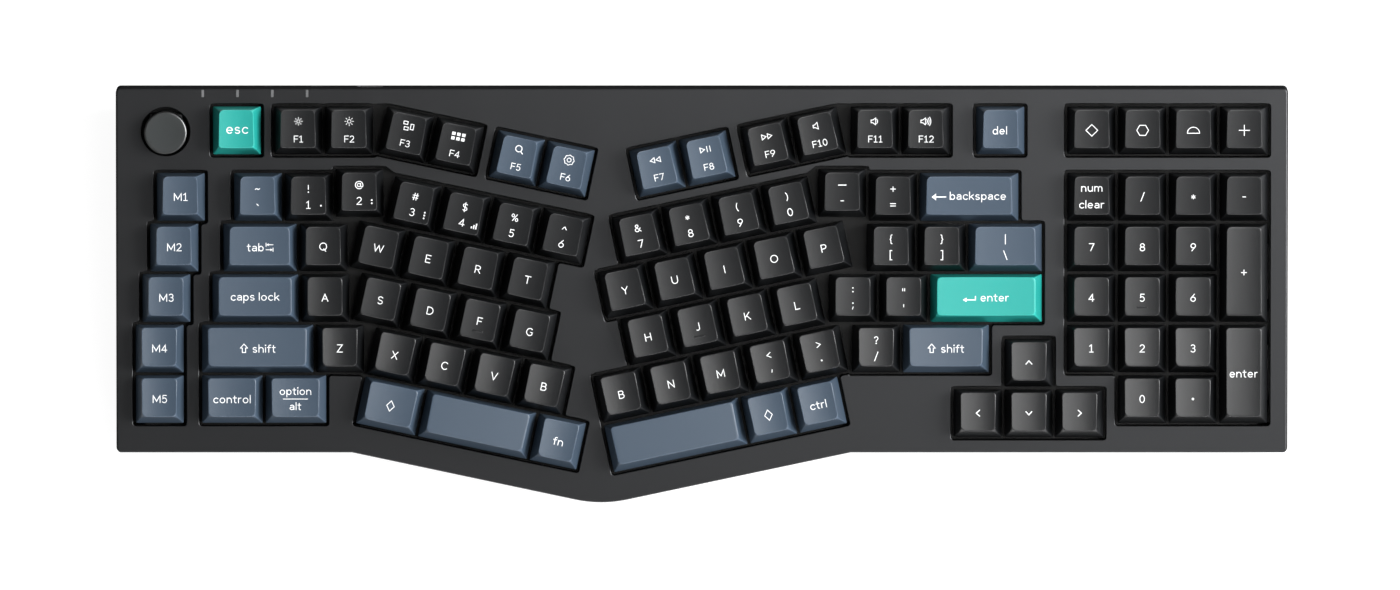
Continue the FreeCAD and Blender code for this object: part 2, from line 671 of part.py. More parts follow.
def top_case():
    shell = prism(case_outline(0, -WALL_HEIGHT), WALL_HEIGHT)
    top_edges = [edge for edge in shell.Edges
                 if all(abs(corner.Point.z) < 1e-6 for corner in edge.Vertexes)]
    shell = shell.makeChamfer(size("case_chamfer"), top_edges)
    shell = shell.cut(prism(case_outline(WALL, -WALL_HEIGHT - 1), WALL_HEIGHT + 1 - DECK))
    boss_foot = V(0, 0, -WALL_HEIGHT)
    bosses = [block(BOSS, BOSS, WALL_HEIGHT - DECK, place + boss_foot) for place in SCREW_PLACES]
    shell = shell.fuse(bosses)
    cuts = []
    for polygon in KEY_OPENINGS:
        outline = clipped(grown(polygon, MARGIN), size("opening_corner"))
        cuts.append(prism(polygon_wire(outline, -DECK - 1), DECK + 2))
    knob_foot = KNOB_PLACE + V(0, 0, -DECK - 1)
    cuts.append(Part.makeCylinder(size("knob_hole_diameter") / 2, DECK + 2, knob_foot))
    for place in SCREW_PLACES:
        cuts.append(pin(SCREW, place + V(0, 0, -WALL_HEIGHT - 1), size("screw_engagement") + 1))
    cuts.append(wall_slot(PORT_PLACE, size("port_window_width"), size("port_window_height")))
    cuts.append(wall_slot(MODE_PLACE, lever_slot_width(size("mode_throw")), LEVER_HEIGHT + 2 * CLEAR))
    cuts.append(wall_slot(SYSTEM_PLACE, lever_slot_width(size("system_throw")), LEVER_HEIGHT + 2 * CLEAR))
    cuts += [light_blade(place, 0, size("light_depth")) for place in light_places()]
    return shell.cut(cuts).removeSplitter()


# Lower shell: a wedge with drawn-in sides, level underneath
def underside_tool():
    deep = 4 * UNDERSIDE
    below = Part.makeBox(CASE_WIDTH, 3 * CASE_DEPTH, deep, V(LEFT, -CASE_DEPTH, -deep))
    below.rotate(V(0, 0, 0), V(1, 0, 0), -size("typing_angle"))
    below.translate(V(0, 0, -UNDERSIDE))
    return below


def foot_blocks(height):
    """The four feet as level boxes, from the desk up."""
    length = size("foot_length")
    width = size("foot_width")
    across = CASE_WIDTH / 2 - size("foot_from_side") - length / 2
    front = TIPPED.multVec(V(0, size("foot_from_edge"), 0)).y
    back = TIPPED.multVec(V(0, CASE_DEPTH - size("foot_from_edge"), 0)).y
    return [block(length, width, height, V(side * across, y, 0)) for side in (-1, 1) for y in (front, back)]


def battery_place():
    return V(0, size("battery_from_front"), FLOOR - size("battery_height") - CLEAR)


def head_level(place):
    """Foot of a screw head, sunk below the underside."""
    return underside(place.y) + size("foot_recess")


def bottom_case():
    depth = -underside(CASE_DEPTH) + 2
    drawn_in = (depth - WALL_HEIGHT) * math.tan(math.radians(size("lower_draft")))
    rim = size("rim_step")
    outlines = [case_outline(rim, -depth, drawn_in), case_outline(rim, -WALL_HEIGHT)]
    body = Part.makeLoft(outlines, True, True)
    body = body.cut(underside_tool())
    body = body.cut(prism(case_outline(WALL, FLOOR), -FLOOR))
    pads = [block(BOSS, BOSS, -WALL_HEIGHT - FLOOR, place + V(0, 0, FLOOR)) for place in SCREW_PLACES]
    ledge_top = PLATE_FOOT - GASKET_HEIGHT
    ledge_width = BOARD_INSET - WALL - 2 * CLEAR
    shift = (BOARD_INSET + WALL) / 2 - GASKET_INSET
    for centre, turn, length in GASKETS:
        inward = FreeCAD.Rotation(V(0, 0, 1), turn).multVec(V(0, 1, 0))
        if inward.dot(V(0, CASE_DEPTH / 2, 0) - centre) < 0:
            inward = -inward
        foot = centre + inward * shift + V(0, 0, FLOOR)
        pads.append(block(length, ledge_width, ledge_top - FLOOR, foot, turn))
    board = port_board_box()
    foot = V(board.Center.x, board.Center.y, FLOOR)
    pads.append(block(board.XLength, ledge_width, board.ZMin - FLOOR, foot))
    body = body.fuse(pads)
    battery = battery_place()
    room = 2 * CLEAR
    cuts = [block(size("battery_length") + room, size("battery_width") + room, -battery.z, battery)]
    for place in SCREW_PLACES:
        seat = place + V(0, 0, head_level(place))
        below = size("foot_recess") + 2
        cuts.append(pin(HEAD + room, seat - V(0, 0, below), HEAD_HEIGHT + below))
        cuts.append(pin(SCREW + room, seat, -seat.z))
    from_world = TIPPED.inverse().Matrix
    feet = foot_blocks(size("foot_height") + size("foot_recess"))
    cuts += [foot.transformed(from_world) for foot in feet]
    return body.cut(cuts).removeSplitter()


# Plate, board and what stands on them
def stabilised():
    return [key for key in ALL_KEYS if key.wide or key.tall]


STEM_REACH = size("stabiliser_spacing") / 2
WIRE = size("stabiliser_wire")
ARM = size("stabiliser_arm")
STABILISER_WIDTH = size("stabiliser_width")
STABILISER_FRONT = -size("stabiliser_front")
STABILISER_BACK = size("stabiliser_back")
STABILISER_TOP = -size("stabiliser_top")
STABILISER_SLOT = size("stabiliser_slot")
STEM_WIDTH = size("stabiliser_stem_width")
STEM_DEPTH = size("stabiliser_stem_depth")
PIVOT_LEVEL = PLATE_TOP + WIRE / 2 + 0.1
TIP_LEVEL = PIVOT_LEVEL + TRAVEL / 2
STEM_FOOT = TIP_LEVEL + WIRE / 2 + CLEAR


def stem_turn(key):
    """The key's own frame, turned so that its two stabiliser stems lie along X."""
    turn = key.block.turn + (90 if key.tall else 0)
    return FreeCAD.Placement(key.centre, FreeCAD.Rotation(V(0, 0, 1), turn))


def placed(shape, placement):
    return shape.transformed(placement.Matrix)


def span(x0, x1, y0, y1, z0, z1):
    return Part.makeBox(x1 - x0, y1 - y0, z1 - z0, V(x0, y0, z0))


def switch_plate():
    plate = prism(case_outline(PLATE_INSET, PLATE_FOOT), size("plate_thickness"))
    foot = PLATE_FOOT - 1
    high = size("plate_thickness") + 2
    holes = [placed(block(size("switch_width"), size("switch_width"), high, V(0, 0, foot)), key.place)
             for key in ALL_KEYS]
    for key in stabilised():
        for side in (-1, 1):
            middle = side * STEM_REACH
            half = STABILISER_WIDTH / 2 + CLEAR
            slot = span(middle - half, middle + half, -ARM - WIRE / 2 - CLEAR,
                        STABILISER_BACK + CLEAR, foot, foot + high)
            holes.append(placed(slot, stem_turn(key)))
    encoder = size("encoder_width") + 2 * CLEAR
    holes.append(block(encoder, encoder, high, KNOB_PLACE + V(0, 0, foot)))
    gap = BOSS + 2 * CLEAR
    holes += [block(gap, gap, high, place + V(0, 0, foot)) for place in SCREW_PLACES]
    return plate.cut(holes)


def holed_sheet(inset, level, thickness):
    """A sheet that fills the case up to an inset, with room for the screw bosses."""
    gap = BOSS + 2 * CLEAR
    sheet = prism(case_outline(inset, level), thickness)
    return sheet.cut([block(gap, gap, thickness + 2, place + V(0, 0, level - 1)) for place in SCREW_PLACES])


def switch_housing():
    """A housing from the board up through its plate hole, drawn in so that a pressed cap clears it."""
    top = PLATE_TOP + size("switch_rise")
    taper = (size("switch_width") - size("switch_top_width")) / (top - PLATE_FOOT)

    def ring(level):
        half = (size("switch_top_width") + taper * (top - level)) / 2
        return [V(-half, -half, level), V(half, -half, level), V(half, half, level), V(-half, half, level)]

    slot = size("slider_width") + 2 * size("slider_clearance")
    slot_foot = SLIDER_FOOT - TRAVEL - CLEAR
    body = frustum(ring(BOARD_TOP), ring(top))
    return body.cut(block(slot, slot, top - slot_foot + 1, V(0, 0, slot_foot)))


def stabiliser_housing(side):
    middle = side * STEM_REACH
    half = STABILISER_WIDTH / 2
    body = span(middle - half, middle + half, STABILISER_FRONT, STABILISER_BACK, BOARD_TOP, STABILISER_TOP)
    half = STABILISER_SLOT / 2
    slot_foot = PIVOT_LEVEL - TRAVEL / 2 - WIRE / 2 - CLEAR
    slot_back = STEM_DEPTH / 2 + CLEAR
    return body.cut(span(middle - half, middle + half, STABILISER_FRONT - 1, slot_back, slot_foot, 0))


def stabiliser_wire():
    """A wire bent to a flat U, its tips raised under the stems."""
    bend = size("stabiliser_bend")
    rise = bend / ARM * TRAVEL / 2
    path = []
    for side in (-1, 1):
        end = [
            V(side * STEM_REACH, 0, TIP_LEVEL),
            V(side * STEM_REACH, bend - ARM, PIVOT_LEVEL + rise),
            V(side * (STEM_REACH - bend), -ARM, PIVOT_LEVEL),
        ]
        path += end if side < 0 else end[::-1]
    along = path[1] - path[0]
    turns = [side * math.pi / 3 for side in range(7)]
    section = Part.makePolygon([V(math.cos(turn), math.sin(turn), 0) * (WIRE / 2) for turn in turns])
    section.Placement = FreeCAD.Placement(path[0], FreeCAD.Rotation(V(0, 0, 1), along))
    return Part.makePolygon(path).makePipeShell([section], True, False, 1)


# Keycaps
SLIDER_FOOT = -size("slider_depth")
SLIDER = size("slider_width")
CAP_REST = -size("cap_rest_depth")
CAP_WALL = size("cap_wall")
HOMING_RISE = size("homing_rise")
HOMING_WIDTH = size("homing_width")
HOMING_INSET = size("homing_inset")


def keycap(key):
    """A hollow cap, its foot at zero: sloping sides and a top that leans with its row."""
    back_height, front_height = ROW_HEIGHTS[key.row]
    side = 2 * size("cap_side_inset") / (back_height + front_height)
    front = size("cap_front_inset") / front_height
    back = size("cap_back_inset") / back_height

    def ring(front_level, back_level, wall):
        """The four corners of the cap's sloping sides, drawn in by a wall, at two levels."""
        y0 = wall + front * front_level - key.depth / 2
        y1 = key.depth / 2 - wall - back * back_level
        x0 = key.width / 2 - wall - side * front_level
        x1 = key.width / 2 - wall - side * back_level
        front_corners = [V(-x0, y0, front_level), V(x0, y0, front_level)]
        return front_corners + [V(x1, y1, back_level), V(-x1, y1, back_level)]

    ceiling = min(back_height, front_height) - CAP_WALL
    cap = frustum(ring(0, 0, 0), ring(front_height, back_height, 0))
    cap = cap.cut(frustum(ring(0, 0, CAP_WALL), ring(ceiling, ceiling, CAP_WALL)))
    if key.homing:
        middle = size("cap_front_inset") - key.depth / 2 + HOMING_INSET
        foot = V(0, middle, front_height - HOMING_RISE)
        cap = cap.fuse(block(size("homing_bar"), HOMING_WIDTH, 2 * HOMING_RISE, foot))
    return cap, ceiling


def key_solids(key):
    """Cap, switch slider and, on a long key, its two stabiliser stems."""
    cap, ceiling = keycap(key)
    rest = V(0, 0, CAP_REST)
    cap.translate(rest)
    solids = [cap, block(SLIDER, SLIDER, CAP_REST + ceiling - SLIDER_FOOT, V(0, 0, SLIDER_FOOT))]
    if key.wide or key.tall:
        for side in (-1, 1):
            middle = side * STEM_REACH
            stem = span(middle - STEM_WIDTH / 2, middle + STEM_WIDTH / 2, -STEM_DEPTH / 2, STEM_DEPTH / 2,
                        STEM_FOOT, CAP_REST + ceiling)
            if key.tall:
                stem.rotate(V(0, 0, 0), V(0, 0, 1), 90)
            solids.append(stem)
    return [placed(solid, key.place) for solid in solids]


# Ports and slide switches on a narrow board along the back wall
def port_board_box():
    width = PORT_PLACE.x - SYSTEM_PLACE.x + 2 * size("port_board_margin")
    middle = (PORT_PLACE.x + SYSTEM_PLACE.x) / 2
    deep = BOARD_INSET - WALL - 2 * CLEAR
    top = PORT_LEVEL - size("port_height") / 2
    thick = size("port_board_thickness")
    centre = V(middle, CASE_DEPTH - (BOARD_INSET + WALL) / 2, top - thick)
    return block(width, deep, thick, centre).BoundBox


def port_board():
    box = port_board_box()
    board = span(box.XMin, box.XMax, box.YMin, box.YMax, box.ZMin, box.ZMax)
    half = size("slide_switch_length") / 2
    top = PORT_LEVEL + size("slide_switch_rise")
    bodies = [span(place.x - half, place.x + half, box.YMin, box.YMax - CLEAR, box.ZMax, top)
              for place in (MODE_PLACE, SYSTEM_PLACE)]
    return [board] + bodies


# Pieces drawn as sketched bodies whose every corner is bound to the sheet
def sketch_profile(body, name, corners):
    """A closed profile on the XY plane; each corner is a pair of expressions from the body's origin."""
    sketch = body.newObject("Sketcher::SketchObject", name)
    ground = next(item for item in body.Origin.OriginFeatures if item.Role == "XY_Plane")
    sketch.AttachmentSupport = (ground, [""])
    sketch.MapMode = "FlatFace"
    places = [V(float(sketch.evalExpression(x)), float(sketch.evalExpression(y)), 0) for x, y in corners]
    for number, place in enumerate(places):
        sketch.addGeometry(Part.LineSegment(place, places[(number + 1) % len(places)]))
    for number in range(len(places)):
        sketch.addConstraint(Sketcher.Constraint("Coincident", number, 2, (number + 1) % len(places), 1))
    for number, ((x, y), place) in enumerate(zip(corners, places)):
        for kind, expression, value in (("DistanceX", x, place.x), ("DistanceY", y, place.y)):
            index = sketch.addConstraint(Sketcher.Constraint(kind, -1, 1, number, 1, value))
            sketch.setExpression("Constraints[%d]" % index, expression)
    return sketch


def padded_body(name, corners, length, placement, socket=None, socket_depth=None):
    """A profile raised to a length; a socket is sunk into its foot."""
    body = doc.addObject("PartDesign::Body", name)
    pad = body.newObject("PartDesign::Pad", name + "_pad")
    pad.Profile = sketch_profile(body, name + "_profile", corners)
    pad.setExpression("Length", length)
    if socket:
        pocket = body.newObject("PartDesign::Pocket", name + "_pocket")
        pocket.Profile = sketch_profile(body, name + "_socket", socket)
        pocket.setExpression("Length", socket_depth)
        pocket.Reversed = True
    keep(body, name, placement)


def regular(diameter, sides):
    """Corner expressions of a regular polygon, its diameter across the corners."""
    angles = [(number + 0.5) * 360 / sides for number in range(sides)]
    return [("%s / 2 * cos(%gdeg)" % (diameter, angle), "%s / 2 * sin(%gdeg)" % (diameter, angle))
            for angle in angles]


def rectangle(width, depth):
    """Corner expressions of a rectangle about the origin."""
    x = "(%s) / 2" % width
    y = "(%s) / 2" % depth
    return [("-" + x, "-" + y), (x, "-" + y), (x, y), ("-" + x, y)]


SHAFT_SIDES = 12
KNOB_SIDES = 24


def encoder_body():
    """The rotary encoder on the board: a box, its neck and a blind bore for plunger and shaft."""
    width = size("encoder_width")
    height = size("encoder_height")
    body = block(width, width, height, V(0, 0, BOARD_TOP))
    body = body.fuse(pin(size("encoder_neck"), V(0, 0, BOARD_TOP), height + size("encoder_neck_rise")))
    bore_foot = PLUNGER_FOOT - size("knob_press") - CLEAR
    bore = pin(size("shaft_diameter") + 2 * CLEAR, V(0, 0, bore_foot), -bore_foot, SHAFT_SIDES)
    return body.cut(bore).removeSplitter().translated(KNOB_PLACE)


def knob_pieces():
    """Push plunger, splined shaft, and the knob pressed onto the shaft."""
    plunger = rectangle("sizes.plunger_width", "sizes.plunger_width")
    plunger_place = tipped(KNOB_PLACE + V(0, 0, PLUNGER_FOOT))
    padded_body("encoder_plunger", plunger, "sizes.plunger_height", plunger_place)
    shaft = regular("sizes.shaft_diameter", SHAFT_SIDES)
    padded_body("encoder_shaft", shaft, "sizes.shaft_depth + sizes.knob_height - sizes.knob_roof",
                tipped(KNOB_PLACE - V(0, 0, size("shaft_depth"))))
    height = "sizes.knob_height + sizes.knob_recess"
    padded_body("volume_knob", regular("sizes.knob_diameter", KNOB_SIDES), height,
                tipped(KNOB_PLACE - V(0, 0, size("knob_recess"))), shaft, height + " - sizes.knob_roof")


def lever(name, place):
    """A slide-switch lever: a thumb tab that fills the depth of its slot in the wall."""
    reach = WALL + CLEAR
    tab = block(LEVER, reach, LEVER_HEIGHT, place + V(0, -(reach + CLEAR) / 2, -LEVER_HEIGHT / 2))
    piece(name, [tab])


def usb_port():
    """The data port's shell with its tongue, drawn upright and laid down through the wall."""
    half_width = size("port_width") / 2
    half_height = size("port_height") / 2
    length = size("port_length")
    wall = size("port_wall")
    outer = [V(-half_width, -half_height, 0), V(half_width, -half_height, 0),
             V(half_width, half_height, 0), V(-half_width, half_height, 0)]
    corner = size("port_corner")
    shell = prism(polygon_wire(clipped(outer, corner), 0), length)
    mouth = clipped(grown(outer, -wall), corner - wall / 2)
    shell = shell.cut(prism(polygon_wire(mouth, -1), length + 1 - wall))
    tongue_width = half_width - 4 * wall
    shell = shell.fuse(span(-tongue_width, tongue_width, -wall, wall, 4 * wall, length - wall))
    shell.rotate(V(0, 0, 0), V(1, 0, 0), 90)
    return shell.removeSplitter().translated(PORT_PLACE - V(0, CLEAR, 0))


def case_screw(place):
    seat = place + V(0, 0, head_level(place))
    head = pin(HEAD, seat, HEAD_HEIGHT)
    tip = size("screw_engagement") - WALL_HEIGHT - CLEAR
    return head.fuse(pin(SCREW, seat + V(0, 0, HEAD_HEIGHT / 2), tip - seat.z - HEAD_HEIGHT / 2))


piece("top_case", [top_case()])
piece("bottom_case", [bottom_case()])
piece("switch_plate", [switch_plate()])
gaskets = []
for height, foot in ((-PLATE_TOP - DECK, PLATE_TOP), (GASKET_HEIGHT, PLATE_FOOT - GASKET_HEIGHT)):
    gaskets += [block(length, size("gasket_width"), height, centre + V(0, 0, foot), turn)
                for centre, turn, length in GASKETS]
piece("plate_gaskets", gaskets)
piece("circuit_board", [holed_sheet(BOARD_INSET, BOARD_FOOT, size("board_thickness"))])
piece("case_foam", [holed_sheet(BOARD_INSET, FLOOR, size("foam_thickness"))])
standoffs = [pin(size("standoff_diameter"), place + V(0, 0, BOARD_TOP), PLATE_FOOT - BOARD_TOP)
             for place in STANDOFF_PLACES]
piece("board_standoffs", standoffs)
housing = switch_housing()
piece("switch_housings", [placed(housing, key.place) for key in ALL_KEYS])
piece("stabiliser_housings", [placed(stabiliser_housing(side), stem_turn(key))
                              for key in stabilised() for side in (-1, 1)])
wire = stabiliser_wire()
for group, keys in KEY_GROUPS.items():
    piece(group, [solid for key in keys for solid in key_solids(key)])
    if keys[0].wide or keys[0].tall:
        piece("stabiliser_wire_" + group[4:], [placed(wire, stem_turn(keys[0]))])
piece("encoder_body", [encoder_body()])
knob_pieces()
lever("mode_switch_lever", MODE_PLACE)
lever("system_switch_lever", SYSTEM_PLACE)
piece("usb_port", [usb_port()])
piece("port_board", port_board())
battery = rectangle("sizes.battery_length", "sizes.battery_width")
padded_body("battery_pack", battery, "sizes.battery_height", tipped(battery_place()))
lights = [light_blade(place, size("light_gap"), size("light_depth")) for place in light_places()]
piece("indicator_lights", lights)
piece("rubber_feet", foot_blocks(size("foot_height") + size("foot_recess")), FreeCAD.Placement())
piece("case_screws", [case_screw(place) for place in SCREW_PLACES])

doc.recompute()

# Nothing is written unless every object is sound
for item in doc.Objects:
    if "Invalid" in item.State or "Error" in item.State:
        raise RuntimeError("%s did not build: %s" % (item.Name, item.State))
for item in subparts:
    if item.Shape.isNull() or not item.Shape.isValid() or not item.Shape.Solids:
        raise RuntimeError("%s has no sound solid" % item.Label)
os.makedirs("parts", exist_ok=True)
for item in subparts:
    item.Shape.exportStep(os.path.join("parts", item.Label + ".step"))
print("%d sub-parts, %d solids" % (len(subparts), sum(len(item.Shape.Solids) for item in subparts)))
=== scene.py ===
# Keyboard with two angled letter blocks, a knob and a number pad, seen from straight above
import math

import bmesh
import bpy
import numpy as np
from mathutils.geometry import tessellate_polygon
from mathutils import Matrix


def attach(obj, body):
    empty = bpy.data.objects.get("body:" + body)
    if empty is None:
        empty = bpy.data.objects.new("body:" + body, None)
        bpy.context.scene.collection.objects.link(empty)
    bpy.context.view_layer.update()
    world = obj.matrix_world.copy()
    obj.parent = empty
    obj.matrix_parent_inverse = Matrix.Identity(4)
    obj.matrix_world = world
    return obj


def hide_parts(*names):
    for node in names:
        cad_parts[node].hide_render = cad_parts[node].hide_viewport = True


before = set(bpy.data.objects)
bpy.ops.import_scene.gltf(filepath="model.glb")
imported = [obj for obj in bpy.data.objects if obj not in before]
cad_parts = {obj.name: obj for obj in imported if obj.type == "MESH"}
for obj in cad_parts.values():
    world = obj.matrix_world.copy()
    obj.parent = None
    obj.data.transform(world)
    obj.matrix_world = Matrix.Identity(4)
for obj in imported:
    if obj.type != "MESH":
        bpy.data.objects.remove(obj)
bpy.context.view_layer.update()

# Camera, straight down; lengths in metres
view = {"lens": 600.0, "sensor": 36.0, "frameWidth": 0.5255, "across": -0.00073, "along": -0.00045,
        "focusLevel": 0.03}
cameraData = bpy.data.cameras.new("camera")
cameraData.lens = view["lens"]
cameraData.sensor_width = view["sensor"]
cameraData.clip_end = 30
camera = bpy.data.objects.new("camera", cameraData)
cameraHeight = view["frameWidth"] * view["lens"] / view["sensor"] + view["focusLevel"]
camera.location = (view["across"], view["along"], cameraHeight)
bpy.context.scene.collection.objects.link(camera)
bpy.context.scene.camera = camera
bpy.context.scene.view_settings.view_transform = "Standard"

# The sloping top: pieces are drawn on it in millimetres, x right, y back, z square to it
slope = {"tilt": math.radians(5.2), "along": -59.6108, "rise": 23.4}


# World place of a point of the sloping top: turned about x by the tilt, then moved, millimetres to metres
def toWorld(points):
    x, y, z = np.moveaxis(np.asarray(points, float), -1, 0)
    cosine, sine = math.cos(slope["tilt"]), math.sin(slope["tilt"])
    return np.stack([x, y * cosine - z * sine + slope["along"],
                     y * sine + z * cosine + slope["rise"]], -1) / 1000


# The inputs of a node, each linked to a socket or set to a value
def feed(tree, node, values):
    for label, value in values.items():
        if hasattr(value, "is_output"):
            tree.links.new(value, node.inputs[label])
        else:
            node.inputs[label].default_value = value
    return node


def mathNode(tree, operation, first, second):
    node = tree.nodes.new("ShaderNodeMath")
    node.operation = operation
    return feed(tree, node, {0: first, 1: second}).outputs[0]


def product(tree, first, second):
    return mathNode(tree, "MULTIPLY", first, second)


def total(tree, first, second):
    return mathNode(tree, "ADD", first, second)


def noiseNode(tree, vector, scale, detail=2.0):
    node = tree.nodes.new("ShaderNodeTexNoise")
    return feed(tree, node, {"Vector": vector, "Scale": scale, "Detail": detail}).outputs["Fac"]


def mixNode(tree, share, first, second):
    node = tree.nodes.new("ShaderNodeMix")
    node.data_type = "RGBA"
    return feed(tree, node, {0: share, 6: first, 7: second}).outputs[2]


# Shader node groups, shared by the finishes; shares and scales of their noises
texture = {"slowGrain": 0.2, "grainShares": (0.7, 0.3), "driftShares": (0.6, 0.4), "wearScale": 260.0,
           "wearKept": 0.6, "wearSwing": 0.6}


def newGroup(name, inputs, outputs):
    tree = bpy.data.node_groups.new(name, "ShaderNodeTree")
    for label, kind, value in inputs:
        socket = tree.interface.new_socket(name=label, in_out="INPUT", socket_type="NodeSocket" + kind)
        if value is not None:
            socket.default_value = value
    for label, kind in outputs:
        tree.interface.new_socket(name=label, in_out="OUTPUT", socket_type="NodeSocket" + kind)
    return tree, tree.nodes.new("NodeGroupInput").outputs, tree.nodes.new("NodeGroupOutput")


# Fine grain: quick noise over a slower one, as a height and as a speckle between 0 and 1
def grainGroup():
    tree, start, end = newGroup("surfaceGrain", [("Vector", "Vector", None), ("Scale", "Float", 3000.0)],
                                [("Height", "Float"), ("Speckle", "Float")])
    fine = noiseNode(tree, start["Vector"], start["Scale"], 3.0)
    slow = noiseNode(tree, start["Vector"], product(tree, start["Scale"], texture["slowGrain"]))
    fineShare, slowShare = texture["grainShares"]
    height = total(tree, product(tree, fine, fineShare), product(tree, slow, slowShare))
    feed(tree, end, {"Height": height, "Speckle": fine})
    return tree


# Slow drift between two tones, with a little of the grain's speckle in it
def driftGroup():
    tree, start, end = newGroup(
        "toneDrift",
        [("Vector", "Vector", None), ("Scale", "Float", 20.0), ("Speckle", "Float", 0.5),
         ("Low", "Color", (0.1, 0.1, 0.1, 1)), ("High", "Color", (0.2, 0.2, 0.2, 1))],
        [("Color", "Color"), ("Share", "Float")])
    slow = noiseNode(tree, start["Vector"], start["Scale"], 3.0)
    slowShare, speckleShare = texture["driftShares"]
    share = total(tree, product(tree, slow, slowShare), product(tree, start["Speckle"], speckleShare))
    feed(tree, end, {"Color": mixNode(tree, share, start["Low"], start["High"]), "Share": share})
    return tree


# Edge wear and painted edge highlight: the piece's own rim mask, broken up by noise, mixes in a lighter tone;
# on the caps' creases and top edges this is painted highlight, on the case's top edge part wear, part painted
# highlight
def wearGroup():
    tree, start, end = newGroup(
        "edgeWearAndHighlight",
        [("Vector", "Vector", None), ("Rim", "Float", 0.0), ("Amount", "Float", 0.5),
         ("Base", "Color", (0.1, 0.1, 0.1, 1)), ("Worn", "Color", (0.3, 0.3, 0.3, 1))],
        [("Color", "Color"), ("Mask", "Float")])
    noise = noiseNode(tree, start["Vector"], texture["wearScale"])
    broken = total(tree, texture["wearKept"], product(tree, noise, texture["wearSwing"]))
    mask = product(tree, product(tree, start["Rim"], broken), start["Amount"])
    feed(tree, end, {"Color": mixNode(tree, mask, start["Base"], start["Worn"]), "Mask": mask})
    return tree


groups = {"grain": grainGroup(), "drift": driftGroup(), "wear": wearGroup()}


def placeGroup(tree, group, values):
    node = tree.nodes.new("ShaderNodeGroup")
    node.node_tree = groups[group]
    return feed(tree, node, values).outputs


# Finishes: low, high and worn tone, wear, roughness from low to high, metal, grain per metre, bump in metres,
# drift per metre, and where they aren't the usual ones the gloss and the tint at the edges; on the caps and
# the case the worn tone also lays painted highlights along the edges
finishes = {
    "anodisedCase": ((0.0346, 0.0353, 0.0369), (0.0408, 0.0417, 0.0434), (0.07, 0.07, 0.073),
                     0.4, 0.38, 0.46, 1.0, 3500, 8e-6, 9, 0.5, 0.0),
    # Painted shade: a darker, duller tone for the case's outer walls, its outer back face and the bottom
    # case, standing in for the shade they fall in
    "caseWallsPaintedShade": ((0.018, 0.0183, 0.019), (0.024, 0.0244, 0.0252), (0.06, 0.06, 0.062),
                  0.4, 0.7, 0.8, 0.0, 3500, 1.2e-5, 9, 0.0),
    "turnedKnob": ((0.078, 0.084, 0.085), (0.100, 0.108, 0.109), 0.14, 0.6, 0.28, 0.38, 1.0, 4000, 3e-6, 60),
    "blackCaps": ((0.0034, 0.0038, 0.0044), (0.0050, 0.0055, 0.0063), (0.040, 0.041, 0.043),
                  0.5, 0.32, 0.38, 0.0, 4200, 1.2e-5, 45),
    "blueGreyCaps": ((0.0325, 0.0495, 0.0725), (0.039, 0.059, 0.0858), (0.12, 0.16, 0.22),
                     0.5, 0.38, 0.44, 0.0, 4200, 1.2e-5, 45),
    "tealCaps": ((0.0078, 0.238, 0.209), (0.0117, 0.274, 0.240), (0.08, 0.62, 0.52),
                 0.5, 0.38, 0.44, 0.0, 4200, 1.2e-5, 45),
    "legendInk": ((0.68, 0.69, 0.70), (0.76, 0.77, 0.78), 0.85, 0.2, 0.5, 0.6, 0.0, 4200, 4e-6, 80),
    "sliderPlastic": ((0.10, 0.06, 0.045), (0.13, 0.08, 0.06), (0.2, 0.15, 0.12), 0.3, 0.35, 0.45, 0.0,
                      3000, 5e-6, 50),
    "housingPlastic": (0.005, 0.009, 0.02, 0.3, 0.45, 0.6, 0.0, 2500, 1e-5, 50),
    # Painted shade: the plate is near black so that the gaps between the caps read as shade
    "plateSteelPaintedShade": (0.004, 0.007, 0.02, 0.4, 0.5, 0.6, 0.4, 3000, 6e-6, 25),
    "gasketFoam": ((0.025, 0.025, 0.026), 0.05, 0.1, 0.1, 0.85, 0.95, 0.0, 1400, 6e-5, 120),
    "boardLacquer": ((0.010, 0.022, 0.016), (0.020, 0.040, 0.030), (0.1, 0.1, 0.08),
                     0.2, 0.25, 0.4, 0.0, 900, 1e-5, 200),
    "batteryWrap": ((0.30, 0.31, 0.33), (0.42, 0.43, 0.45), 0.5, 0.2, 0.3, 0.42, 0.3, 700, 2e-5, 40),
    "wireSteel": ((0.40, 0.40, 0.41), (0.52, 0.52, 0.53), 0.7, 0.3, 0.25, 0.35, 1.0, 2500, 4e-6, 60),
    "screwSteel": ((0.10, 0.10, 0.105), (0.16, 0.16, 0.165), 0.45, 0.6, 0.28, 0.42, 1.0, 3000, 5e-6, 90),
    "footRubber": (0.018, 0.030, 0.06, 0.3, 0.75, 0.9, 0.0, 1600, 3e-5, 60),
    "lightGuide": ((0.10, 0.102, 0.105), (0.14, 0.142, 0.145), 0.2, 0.2, 0.3, 0.4, 0.0, 2000, 4e-6, 80),
}


# A colour from three numbers, a grey from one
def colour(tone):
    return (*tone, 1) if isinstance(tone, tuple) else (tone, tone, tone, 1)
